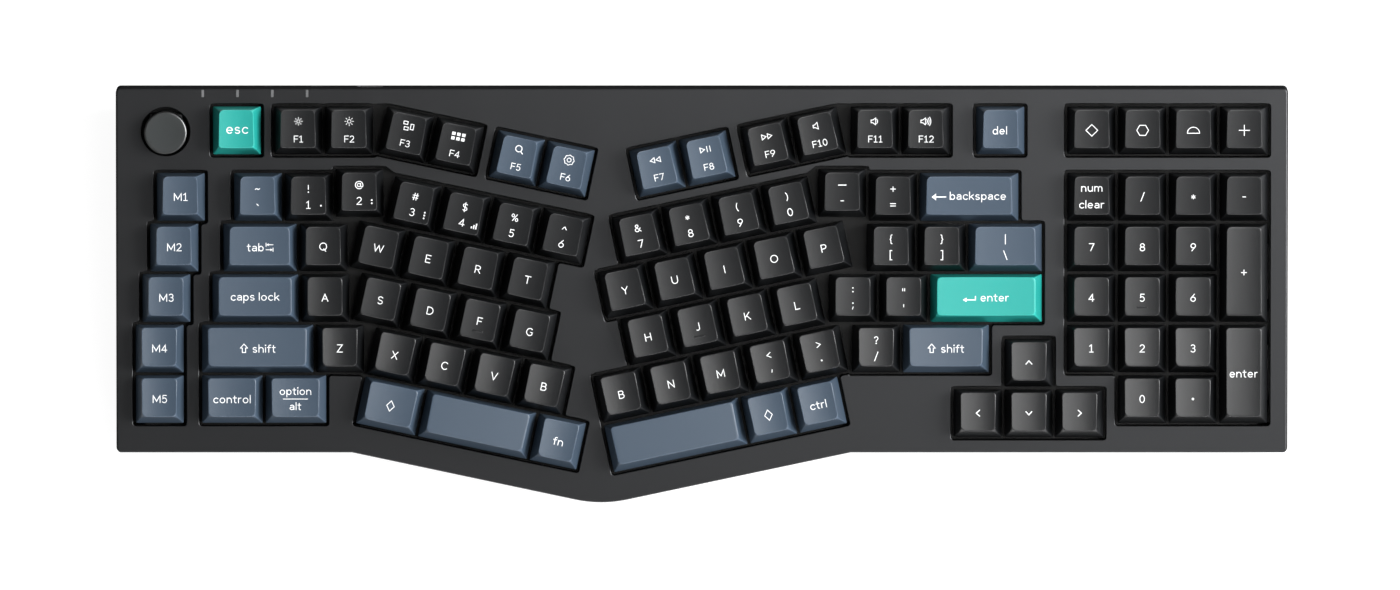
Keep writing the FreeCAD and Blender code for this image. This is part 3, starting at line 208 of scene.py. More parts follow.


# A material: grain and drift make the tone and the roughness, wear and painted highlight lighten the rims,
# grain gives the bump
def makeFinish(name, low, high, worn, wear, smooth, rough, metal, grainScale, bump, driftScale,
               gloss=0.5, tint=1.0):
    material = bpy.data.materials.new(name)
    material.use_nodes = True
    tree = material.node_tree
    place = tree.nodes.new("ShaderNodeTexCoord").outputs["Object"]
    rim = tree.nodes.new("ShaderNodeAttribute")
    rim.attribute_name = "rim"
    grain = placeGroup(tree, "grain", {"Vector": place, "Scale": float(grainScale)})
    drift = placeGroup(tree, "drift", {"Vector": place, "Scale": float(driftScale),
                                       "Speckle": grain["Speckle"], "Low": colour(low), "High": colour(high)})
    edges = placeGroup(tree, "wear", {"Vector": place, "Rim": rim.outputs["Fac"], "Amount": wear,
                                      "Base": drift["Color"], "Worn": colour(worn)})
    height = feed(tree, tree.nodes.new("ShaderNodeBump"), {"Distance": bump, "Height": grain["Height"]})
    feed(tree, tree.nodes["Principled BSDF"], {
        "Base Color": edges["Color"], "Normal": height.outputs["Normal"], "Metallic": metal,
        "Roughness": total(tree, product(tree, drift["Share"], rough - smooth), smooth),
        "Specular IOR Level": gloss, "Specular Tint": colour(tint)})
    return material


materials = {name: makeFinish(name, *values) for name, values in finishes.items()}
print("finishes: %d" % len(materials))

# Floor and light
studio = {"floorSize": 6.0, "floorTone": 0.24, "floorRough": 0.9, "floorGlow": 0.92, "zenith": 0.11,
          "horizon": 0.42, "leanRight": 0.2, "leanFront": 0.24}
# Lamps: power, width and length in metres, place
lamps = {"key": (470.0, 2.5, 2.5, (3.7, 0.5, 2.95)), "overhead": (8.2, 0.36, 1.2, (0.54, 0.0, 1.1)),
         "front": (45.0, 2.4, 0.9, (0.1, -2.9, 1.05))}


# White floor: plain diffuse, plus a glow that only the camera, glossy and transmitted rays see
def makeFloor():
    size = studio["floorSize"]
    mesh = bpy.data.meshes.new("floor")
    mesh.from_pydata([(-size, -size, 0), (size, -size, 0), (size, size, 0), (-size, size, 0)], [],
                     [(0, 1, 2, 3)])
    floor = bpy.data.objects.new("floor", mesh)
    bpy.context.scene.collection.objects.link(floor)
    material = bpy.data.materials.new("paperFloor")
    material.use_nodes = True
    tree = material.node_tree
    shader = feed(tree, tree.nodes["Principled BSDF"], {
        "Base Color": colour(studio["floorTone"]), "Roughness": studio["floorRough"],
        "Specular IOR Level": 0.0})
    path = tree.nodes.new("ShaderNodeLightPath").outputs
    seen = mathNode(tree, "MAXIMUM", path["Is Camera Ray"], path["Is Glossy Ray"])
    seen = mathNode(tree, "MAXIMUM", seen, path["Is Transmission Ray"])
    glow = feed(tree, tree.nodes.new("ShaderNodeEmission"),
                {"Strength": product(tree, seen, studio["floorGlow"])})
    both = feed(tree, tree.nodes.new("ShaderNodeAddShader"), {0: shader.outputs[0], 1: glow.outputs[0]})
    feed(tree, tree.nodes["Material Output"], {"Surface": both.outputs[0]})
    mesh.materials.append(material)


# A rectangle of light that faces the keyboard
def softLight(name, power, width, length, place):
    data = bpy.data.lights.new(name, "AREA")
    data.shape = "RECTANGLE"
    data.size, data.size_y, data.energy = width, length, power
    lamp = bpy.data.objects.new(name, data)
    lamp.location = place
    bpy.context.scene.collection.objects.link(lamp)
    lamp.rotation_mode = "QUATERNION"
    lamp.rotation_quaternion = lamp.location.to_track_quat("Z", "Y")


# Dome, dim straight above and brighter to the horizon by one minus height squared, and a little to the right
# and front
def makeWorld():
    world = bpy.data.worlds.new("studio")
    world.use_nodes = True
    tree = world.node_tree
    generated = tree.nodes.new("ShaderNodeTexCoord").outputs["Generated"]
    way = feed(tree, tree.nodes.new("ShaderNodeSeparateXYZ"), {0: generated}).outputs
    low = mathNode(tree, "SUBTRACT", 1.0, product(tree, way["Z"], way["Z"]))
    level = total(tree, studio["zenith"], product(tree, low, studio["horizon"] - studio["zenith"]))
    level = total(tree, level, product(tree, way["X"], studio["leanRight"]))
    level = mathNode(tree, "SUBTRACT", level, product(tree, way["Y"], studio["leanFront"]))
    feed(tree, tree.nodes["Background"], {"Color": (1, 1, 1, 1), "Strength": level})
    bpy.context.scene.world = world


makeFloor()
for lampName, values in lamps.items():
    softLight(lampName, *values)
makeWorld()
print("studio ready")


# Surfaces: points and faces gathered part by part, then written as one mesh
class Surface:
    def __init__(self):
        self.points, self.faces, self.marks, self.smooth, self.rims = [], [], [], [], []
        self.count = 0

    def add(self, points, faces, mark=0, smooth=True, rim=0.0):
        points = np.asarray(points, float).reshape(-1, 3)
        for some in faces:
            some = np.asarray(some)
            if some.size:
                self.faces += (some + self.count).tolist()
                self.marks += [mark] * len(some)
                self.smooth += [smooth] * len(some)
        self.points.append(points)
        self.rims.append(np.broadcast_to(np.asarray(rim, float), (len(points),)))
        self.count += len(points)


# The gathered surface as an object in the world's metres, with its rim mask, sharp edges, finishes and body
def makePiece(name, surface, finishNames, body, replaced=(), angle=35, settle=False):
    mesh = bpy.data.meshes.new(name)
    mesh.from_pydata(toWorld(np.concatenate(surface.points)), [], surface.faces)
    mesh.polygons.foreach_set("material_index", surface.marks)
    rim = mesh.attributes.new("rim", "FLOAT", "CORNER")
    corners = np.concatenate([np.asarray(face) for face in surface.faces])
    rim.data.foreach_set("value", np.concatenate(surface.rims)[corners].astype(np.float32))
    if settle:  # merge the seams and turn all faces outwards
        work = bmesh.new()
        work.from_mesh(mesh)
        bmesh.ops.remove_doubles(work, verts=work.verts, dist=1e-7)
        bmesh.ops.recalc_face_normals(work, faces=work.faces)
        work.to_mesh(mesh)
        work.free()
    mesh.set_sharp_from_angle(angle=math.radians(angle))
    mesh.polygons.foreach_set("use_smooth", surface.smooth)
    for finish in finishNames:
        mesh.materials.append(materials[finish])
    piece = bpy.data.objects.new(name, mesh)
    bpy.context.scene.collection.objects.link(piece)
    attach(piece, body)
    if replaced:
        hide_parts(*replaced)


# Quads over a grid of rows and columns, the columns closed to a ring
def gridFaces(rows, columns):
    row = np.arange(rows - 1)[:, None] * columns
    column = np.arange(columns)[None, :]
    following = (column + 1) % columns
    return np.stack([row + column, row + following, row + columns + following, row + columns + column],
                    -1).reshape(-1, 4)


# A ring grid closed by one point at each end; rows run from the first end to the last
def closedRings(rings, first, last):
    rows, columns = rings.shape[:2]
    points = np.concatenate([rings.reshape(-1, 3), [first, last]])
    column = np.arange(columns)
    following = (column + 1) % columns
    start = np.stack([np.full(columns, rows * columns), following, column], -1)
    offset = (rows - 1) * columns
    end = np.stack([offset + column, offset + following, np.full(columns, rows * columns + 1)], -1)
    return points, [gridFaces(rows, columns), start, end]


# Unit rounded rectangle: skeleton place (-1 to 1) and outward normal of each point, anticlockwise
def roundedRing(acrossSteps=1, alongSteps=1, arcSteps=4):
    corners = np.array([(1, 1), (-1, 1), (-1, -1), (1, -1)], float)
    parts = []
    for number in range(4):
        turn = math.pi / 2 * (number + np.linspace(0, 1, arcSteps + 1))
        corner = np.broadcast_to(corners[number], (arcSteps + 1, 2))
        parts.append(np.hstack([corner, np.stack([np.cos(turn), np.sin(turn)], -1)]))
        steps = acrossSteps if number % 2 == 0 else alongSteps
        # closer near the corners
        share = (0.5 - 0.5 * np.cos(np.linspace(0, math.pi, steps + 1)))[1:-1, None]
        edge = corners[number] * (1 - share) + corners[(number + 1) % 4] * share
        out = np.broadcast_to([math.cos(turn[-1]), math.sin(turn[-1])], edge.shape)
        parts.append(np.hstack([edge, out]))
    return np.concatenate(parts).T


# One ring of points: an outline in plan and its level
def ringPoints(outline, level):
    x, y = outline
    return np.stack([x, y, np.full_like(x, level)], -1)


# A rounded rectangle between given limits: skeleton times what the radius leaves, plus the normal times the
# radius
def ringOutline(ring, left, right, front, back, radius):
    along, across = (back - front) / 2 - radius, (right - left) / 2 - radius
    return ((left + right) / 2 + ring[0] * across + ring[2] * radius,
            (front + back) / 2 + ring[1] * along + ring[3] * radius)


# Box with rounded corners in plan, from foot to top, both edges eased
def roundedPost(left, right, front, back, foot, top, radius=0.4, ease=0.15, arcSteps=3):
    ring = roundedRing(1, 1, arcSteps)
    rows = [ringPoints(ringOutline(ring, left + inset, right - inset, front + inset, back - inset, radius),
                       level)
            for inset, level in ((ease, foot), (0, foot + ease), (0, top - ease), (ease, top))]
    middle = ((left + right) / 2, (front + back) / 2)
    return closedRings(np.stack(rows), middle + (foot,), middle + (top,))


# Layout of the keys in key pitches, the same numbers as the CAD
layout = {"pitch": 19.05, "left": -219.99, "borderLeft": 6.86, "rowOne": 105.82,
          "functionRow": -25.05 / 19.05,
          "slantedFunctionRow": -1.224, "raised": -1.5 / 19.05, "angle": 12.0, "axis": 9.204,
          "halfGap": 0.168, "blockTop": 0.885, "padLeft": 18.358, "arrowLeft": 16.127, "arrowRow": 4.28,
          "firstEdges": [1.943, 1.732, 1.515, 1.307, 1.307], "macroEdges": [0.422, 0.292, 0.134, 0.0, 0.0]}
pitch, fRow = layout["pitch"], layout["functionRow"]
slantedRow, raised, padLeft = layout["slantedFunctionRow"], layout["raised"], layout["padLeft"]


# A set of keys with one turn: its zero and its own right and back directions
def blockFrame(across, down, turn):
    bend = math.radians(turn)
    zero = np.array([layout["left"] + layout["borderLeft"] + across * pitch, layout["rowOne"] - down * pitch])
    return {"zero": zero, "right": np.array([math.cos(bend), math.sin(bend)]),
            "back": np.array([-math.sin(bend), math.cos(bend)])}


straight = blockFrame(0, 0, 0)
leftBlock = blockFrame(layout["axis"] - layout["halfGap"], layout["blockTop"], -layout["angle"])
rightBlock = blockFrame(layout["axis"] + layout["halfGap"], layout["blockTop"], layout["angle"])


# Place of a point of a block: its zero, plus pitches to its right, less pitches to its back
def blockPoint(block, across, down):
    return block["zero"] + block["right"] * (across * pitch) - block["back"] * (down * pitch)


# Caps in millimetres: heights at the back and front edge by row from the back, insets of the top on each
# side;
# the crease and edge shares lay painted highlights on the corner creases and the top edges
caps = {"gap": 1.09, "rest": -0.8, "side": 2.45, "front": 3.3, "back": 0.35, "dish": 0.5, "footRadius": 0.4,
        "topRadius": 1.7, "edge": 0.25, "wall": 1.3, "paintedCreaseHighlight": 0.7, "edgeWearAndHighlight": 0.3,
        "heights": [(11.4, 9.9), (9.8, 8.9), (9.0, 8.8), (9.0, 9.9), (9.0, 9.9)]}
legendSize = {"letter": 3.15, "upper": 3.0, "lower": 3.15, "number": 2.7, "raise": 3.0}


def makeKey(block, across, down, tone, legend, width=1.0, height=1.0):
    back, front = caps["heights"][max(0, round(down))]
    return {"block": block, "centre": blockPoint(block, across + width / 2, down + height / 2),
            "width": width * pitch - caps["gap"], "depth": height * pitch - caps["gap"], "tone": tone,
            "legend": legend, "backHeight": back, "frontHeight": front, "crown": not legend,
            "homing": bool(legend) and legend[0][0] in ("F", "J", "5"), "wide": width >= 2,
            "tall": height >= 2}


# Keys side by side; each entry is its tone, its signs and its size where that isn't one pitch
def keyRun(block, start, down, entries):
    keys = []
    for tone, legend, size in entries:
        keys.append(makeKey(block, start, down, tone, legend, **size))
        start += size.get("width", 1.0)
    return keys


# A word, a letter or an @icon, and where it stands from the middle of the top
def sign(text, x=0.0, y=0.0, height=legendSize["letter"]):
    return (text, x, y, height)


def black(*legend, **size):
    return ("black", legend, size)


def blue(*legend, **size):
    return ("blue", legend, size)


def teal(*legend, **size):
    return ("teal", legend, size)


def letters(text):
    return [black(sign(letter)) for letter in text]


def iconKeys(names):
    return [black(sign("@" + name)) for name in names.split()]


# Two signs, one over the other, and behind them the name of an icon for the corner
def pairs(text, make=black):
    upper, lower, high = legendSize["upper"], legendSize["lower"], legendSize["raise"]
    return [make(sign(pair[0], 0, high, upper), sign(pair[1], 0, -high, lower),
                 *([sign(pair[2:], 4.7, -3.3)] if pair[2:] else [])) for pair in text.split()]


def functionKeys(make, number, names):
    return [make(sign("@" + name, 0.2, 3.4), sign("F%d" % (number + count), 0.2, -3.3, legendSize["number"]))
            for count, name in enumerate(names.split())]


keyGroups = {
    "key_esc": keyRun(straight, 1.529, fRow, [teal(sign("esc", 0.3, 0, 3.9))]),
    "keys_f1_f6": keyRun(straight, 2.739, fRow, functionKeys(black, 1, "smallSun sun"))
    + keyRun(leftBlock, -4.43, fRow, functionKeys(black, 3, "windows grid"))
    + keyRun(leftBlock, -2.203, fRow, functionKeys(blue, 5, "lens gear")),
    "keys_f7_f12": keyRun(rightBlock, 0.615, slantedRow, functionKeys(blue, 7, "rewind play"))
    + keyRun(rightBlock, 2.846, slantedRow, functionKeys(black, 9, "forward speaker"))
    + keyRun(straight, 14.091, fRow, functionKeys(black, 11, "speaker1 speaker3")),
    "key_delete": keyRun(straight, 16.564, fRow, [blue(sign("del", -0.3))]),
    "keys_programmable": keyRun(straight, padLeft, fRow, iconKeys("diamond hexagon halfDisc plus")),
    "keys_macro": [makeKey(straight, edge, down, "blue", [sign("M%d" % (down + 1), 0.2)])
                   for down, edge in enumerate(layout["macroEdges"])],
    "keys_grave_to_6": keyRun(straight, 1.943, 0, pairs("~`", blue) + pairs("!1@dots1"))
    + keyRun(straight, 3.943, raised, pairs("@2@dots2"))
    + keyRun(leftBlock, -4, 0, pairs("#3@dots3 $4@bars %5 ^6")),
    "keys_7_to_equals": keyRun(rightBlock, 0, 0, pairs("&7 *8 (9 )0"))
    + keyRun(straight, 13.448, raised, [black(sign("@dash", 0, 3.0), sign("-", 0, -3.0))])
    + keyRun(straight, 14.448, 0, pairs("+=")),
    "key_backspace": keyRun(straight, 15.448, 0, [blue(sign("@leftArrow", -11.45), sign("backspace", 3.2),
                                                       width=2)]),
    "key_tab": keyRun(straight, 1.732, 1, [blue(sign("tab", -1.7), sign("@tabs", 3.7), width=1.5)]),
    "keys_q_to_t": keyRun(straight, 3.232, 1, letters("Q")) + keyRun(leftBlock, -4.5, 1, letters("WERT")),
    "keys_y_to_bracket": keyRun(rightBlock, -0.5, 1, letters("YUIOP"))
    + keyRun(straight, 14.41, 1, pairs("{[ }]")),
    "key_backslash": keyRun(straight, 16.41, 1, pairs("|\\", lambda *legend: blue(*legend, width=1.5))),
    "key_caps_lock": keyRun(straight, 1.515, 2, [blue(sign("caps lock"), width=1.75)]),
    "keys_a_to_g": keyRun(straight, 3.265, 2, letters("A")) + keyRun(leftBlock, -4.25, 2, letters("SDFG")),
    "keys_h_to_quote": keyRun(rightBlock, -0.25, 2, letters("HJKL"))
    + keyRun(straight, 13.66, 2, pairs(":; \"'")),
    "key_enter": keyRun(straight, 15.66, 2, [teal(sign("@enterArrow", -6.35, -0.45), sign("enter", 3.2),
                                                  width=2.25)]),
    "key_left_shift": keyRun(straight, 1.307, 3, [blue(sign("@shiftArrow", -5.0), sign("shift", 2.6),
                                                       width=2.25)]),
    "keys_z_to_b": keyRun(straight, 3.557, 3, letters("Z")) + keyRun(leftBlock, -3.75, 3, letters("XCVB")),
    "keys_b_to_slash": keyRun(rightBlock, -1.0, 3, letters("BNM") + pairs("<, >."))
    + keyRun(straight, 14.12, 3, pairs("?/")),
    "key_right_shift": keyRun(straight, 15.12, 3, [blue(sign("@shiftArrow", -5.4), sign("shift", 2.5),
                                                        width=1.75)]),
    "keys_left_modifiers": keyRun(straight, 1.307, 4, [
        blue(sign("control"), width=1.25),
        blue(sign("option", 0, 2.6, 3.0), sign("@rule"), sign("alt", 0, -2.65, 3.0), width=1.25)])
    + keyRun(leftBlock, -3.75, 4, [blue(sign("@lozenge"), width=1.25)])
    + keyRun(leftBlock, -0.25, 4, [blue(sign("fn"))]),
    "key_space_left": keyRun(leftBlock, -2.5, 4, [blue(width=2.25)]),
    "key_space_right": keyRun(rightBlock, -1.0, 4, [blue(width=2.75)]),
    "keys_right_modifiers": keyRun(rightBlock, 1.75, 4, [blue(sign("@lozenge")), blue(sign("ctrl"))]),
    "keys_arrows": keyRun(straight, layout["arrowLeft"] + 1, layout["arrowRow"] - 1, iconKeys("up"))
    + keyRun(straight, layout["arrowLeft"], layout["arrowRow"], iconKeys("left down right")),
    "keys_pad_top_row": keyRun(straight, padLeft, 0, [black(sign("num", 0, 3.04), sign("clear", 0, -2.78))]
                               + letters("/*-")),
    "keys_pad_789": keyRun(straight, padLeft, 1, letters("789")),
    "key_pad_plus": keyRun(straight, padLeft + 3, 1, [black(sign("+"), height=2)]),
    "keys_pad_456": keyRun(straight, padLeft, 2, letters("456")),
    "keys_pad_1230": keyRun(straight, padLeft, 3, letters("123"))
    + keyRun(straight, padLeft + 1, 4, letters("0") + iconKeys("dot")),
    "key_pad_enter": keyRun(straight, padLeft + 3, 3, [black(sign("enter"), height=2)]),
}
print("layout: %d keys" % sum(len(keys) for keys in keyGroups.values()))


# Level of a cap's top: a plane that leans from front to back, hollowed by a parabola across the key
def topLevel(key, x, y):
    front, back = caps["front"] - key["depth"] / 2, key["depth"] / 2 - caps["back"]
    lean = key["frontHeight"] + (key["backHeight"] - key["frontHeight"]) * (y - front) / (back - front)
    half = key["width"] / 2 - caps["side"]
    dish = -0.35 * caps["dish"] * (x / half) ** 2 if key["crown"] else caps["dish"] * ((x / half) ** 2 - 1)
    return lean + np.clip(dish, -caps["dish"], 0)


# Outline of a cap at a level: each side draws in with height, and the corner radius grows with it
def capOutline(key, ring, level, inset=0.0, radius=None):
    mean = (key["backHeight"] + key["frontHeight"]) / 2
    half = key["width"] / 2 - caps["side"] * level / mean - inset
    front = caps["front"] * level / key["frontHeight"] - key["depth"] / 2 + inset
    back = key["depth"] / 2 - caps["back"] * level / key["backHeight"] - inset
    if radius is None:
        foot, top = caps["footRadius"], caps["topRadius"]
        radius = foot + (top - foot) * np.clip(level / mean, 0, 1) ** 6
    return ringOutline(ring, -half, half, front, back, radius)


# A part drawn about a key's middle, turned and moved to its place
def addOnKey(surface, key, points, faces, mark=0, smooth=True, rim=0.0):
    plan = key["centre"] + points[:, :1] * key["block"]["right"] + points[:, 1:2] * key["block"]["back"]
    surface.add(np.column_stack([plan, points[:, 2] + caps["rest"]]), faces, mark, smooth, rim)


# Underside of a cap's top
def capCeiling(key):
    return min(key["backHeight"], key["frontHeight"]) - caps["wall"] - caps["dish"]


# One hollow cap: ceiling, inner wall, foot, outer wall up to an eased edge, and the dished top in shrinking
# rings
def addCap(surface, key):
    ring = roundedRing(max(8, int(key["width"] / 2.2)), max(3, int(key["depth"] / 5)), 4)
    level = np.full(ring.shape[1], (key["backHeight"] + key["frontHeight"]) / 2)
    for _ in range(3):  # where wall and top meet, found by going round
        level = topLevel(key, *capOutline(key, ring, level))
    ceiling, edge = capCeiling(key), caps["edge"]
    rows = [ringPoints(capOutline(key, ring, np.full_like(level, height), caps["wall"], caps["footRadius"]),
                       height)
            for height in (ceiling, 0.0)]
    # outer wall: share of the top's level, drop below it and inset in edge radii
    for share, drop, inset in ((0, 0, 0), (0.06, 0, 0), (0.5, 0, 0), (0.8, 0, 0), (1, edge * 1.5 + 0.15, 0),
                               (1, edge * 1.5, 0), (1, edge, 0), (1, edge * 0.5, 0.15),
                               (1, edge * 0.16, 0.42)):
        height = level * share - drop
        rows.append(ringPoints(capOutline(key, ring, height, inset * edge), height))
    x, y = capOutline(key, ring, level, edge * 0.8)
    middle = (caps["front"] - caps["back"]) / 2
    for share in (1.0, 0.97, 0.8, 0.6, 0.4, 0.2):
        inX, inY = x * share, middle + (y - middle) * share
        rows.append(ringPoints((inX, inY), topLevel(key, inX, inY)))
    rings = np.stack(rows)
    points, faces = closedRings(rings, (0, 0, ceiling), (0, middle, float(topLevel(key, 0.0, middle))))
    rim = np.zeros(rings.shape[:2])
    # painted highlight: the corner creases and the top edges take the lighter worn tone, standing in for the
    # glints they catch
    rim[2:10] = caps["paintedCreaseHighlight"] * (np.abs(ring[2] * ring[3]) > 0.4)  # the creases at the corners
    rim[8:12] = np.maximum(rim[8:12], caps["edgeWearAndHighlight"])
    addOnKey(surface, key, points, faces, rim=np.append(rim.ravel(), (0, 0)))


# Switch sliders: a square post under each cap, and two narrow ones under a cap of two pitches or more
sliders = {"half": 2.8, "foot": -3.0, "sink": 0.05, "stemSpacing": 11.94, "stemHalf": (1.7, 1.8),
           "stemFoot": -1.4}


def addSliders(surface, key):
    half, top = sliders["half"], capCeiling(key) + sliders["sink"]
    points, faces = roundedPost(-half, half, -half, half, sliders["foot"] - caps["rest"], top)
    addOnKey(surface, key, points, faces, 1)
    if key["wide"] or key["tall"]:
        across, along = sliders["stemHalf"]
        for side in (-sliders["stemSpacing"], sliders["stemSpacing"]):
            points, faces = roundedPost(side - across, side + across, -along, along, sliders["stemFoot"], top)
            if key["tall"]:
                points = points[:, [1, 0, 2]] * (-1, 1, 1)
            addOnKey(surface, key, points, faces, 1)


# The raised bar on the keys under the forefingers
homing = {"length": 4.0, "width": 0.7, "fromFront": 2.4, "height": 0.35, "wear": 0.4}


def addHoming(surface, key):
    y, half = caps["front"] - key["depth"] / 2 + homing["fromFront"], homing["length"] / 2
    points, faces = roundedPost(-half, half, y, y + homing["width"], 0, homing["height"] * 2, 0.3, 0.2)
    points[:, 2] += topLevel(key, points[:, 0], points[:, 1]) - homing["height"]
    addOnKey(surface, key, points, faces, rim=homing["wear"])


# Legends: signs drawn as strokes, thin solids that follow the hollow of the top; stroke weight in grid units
lettering = {"thickness": 0.035, "weight": 0.68, "between": 0.9, "space": 2.4, "step": 1.0, "lift": 0.004,
             "lower": 0.6}

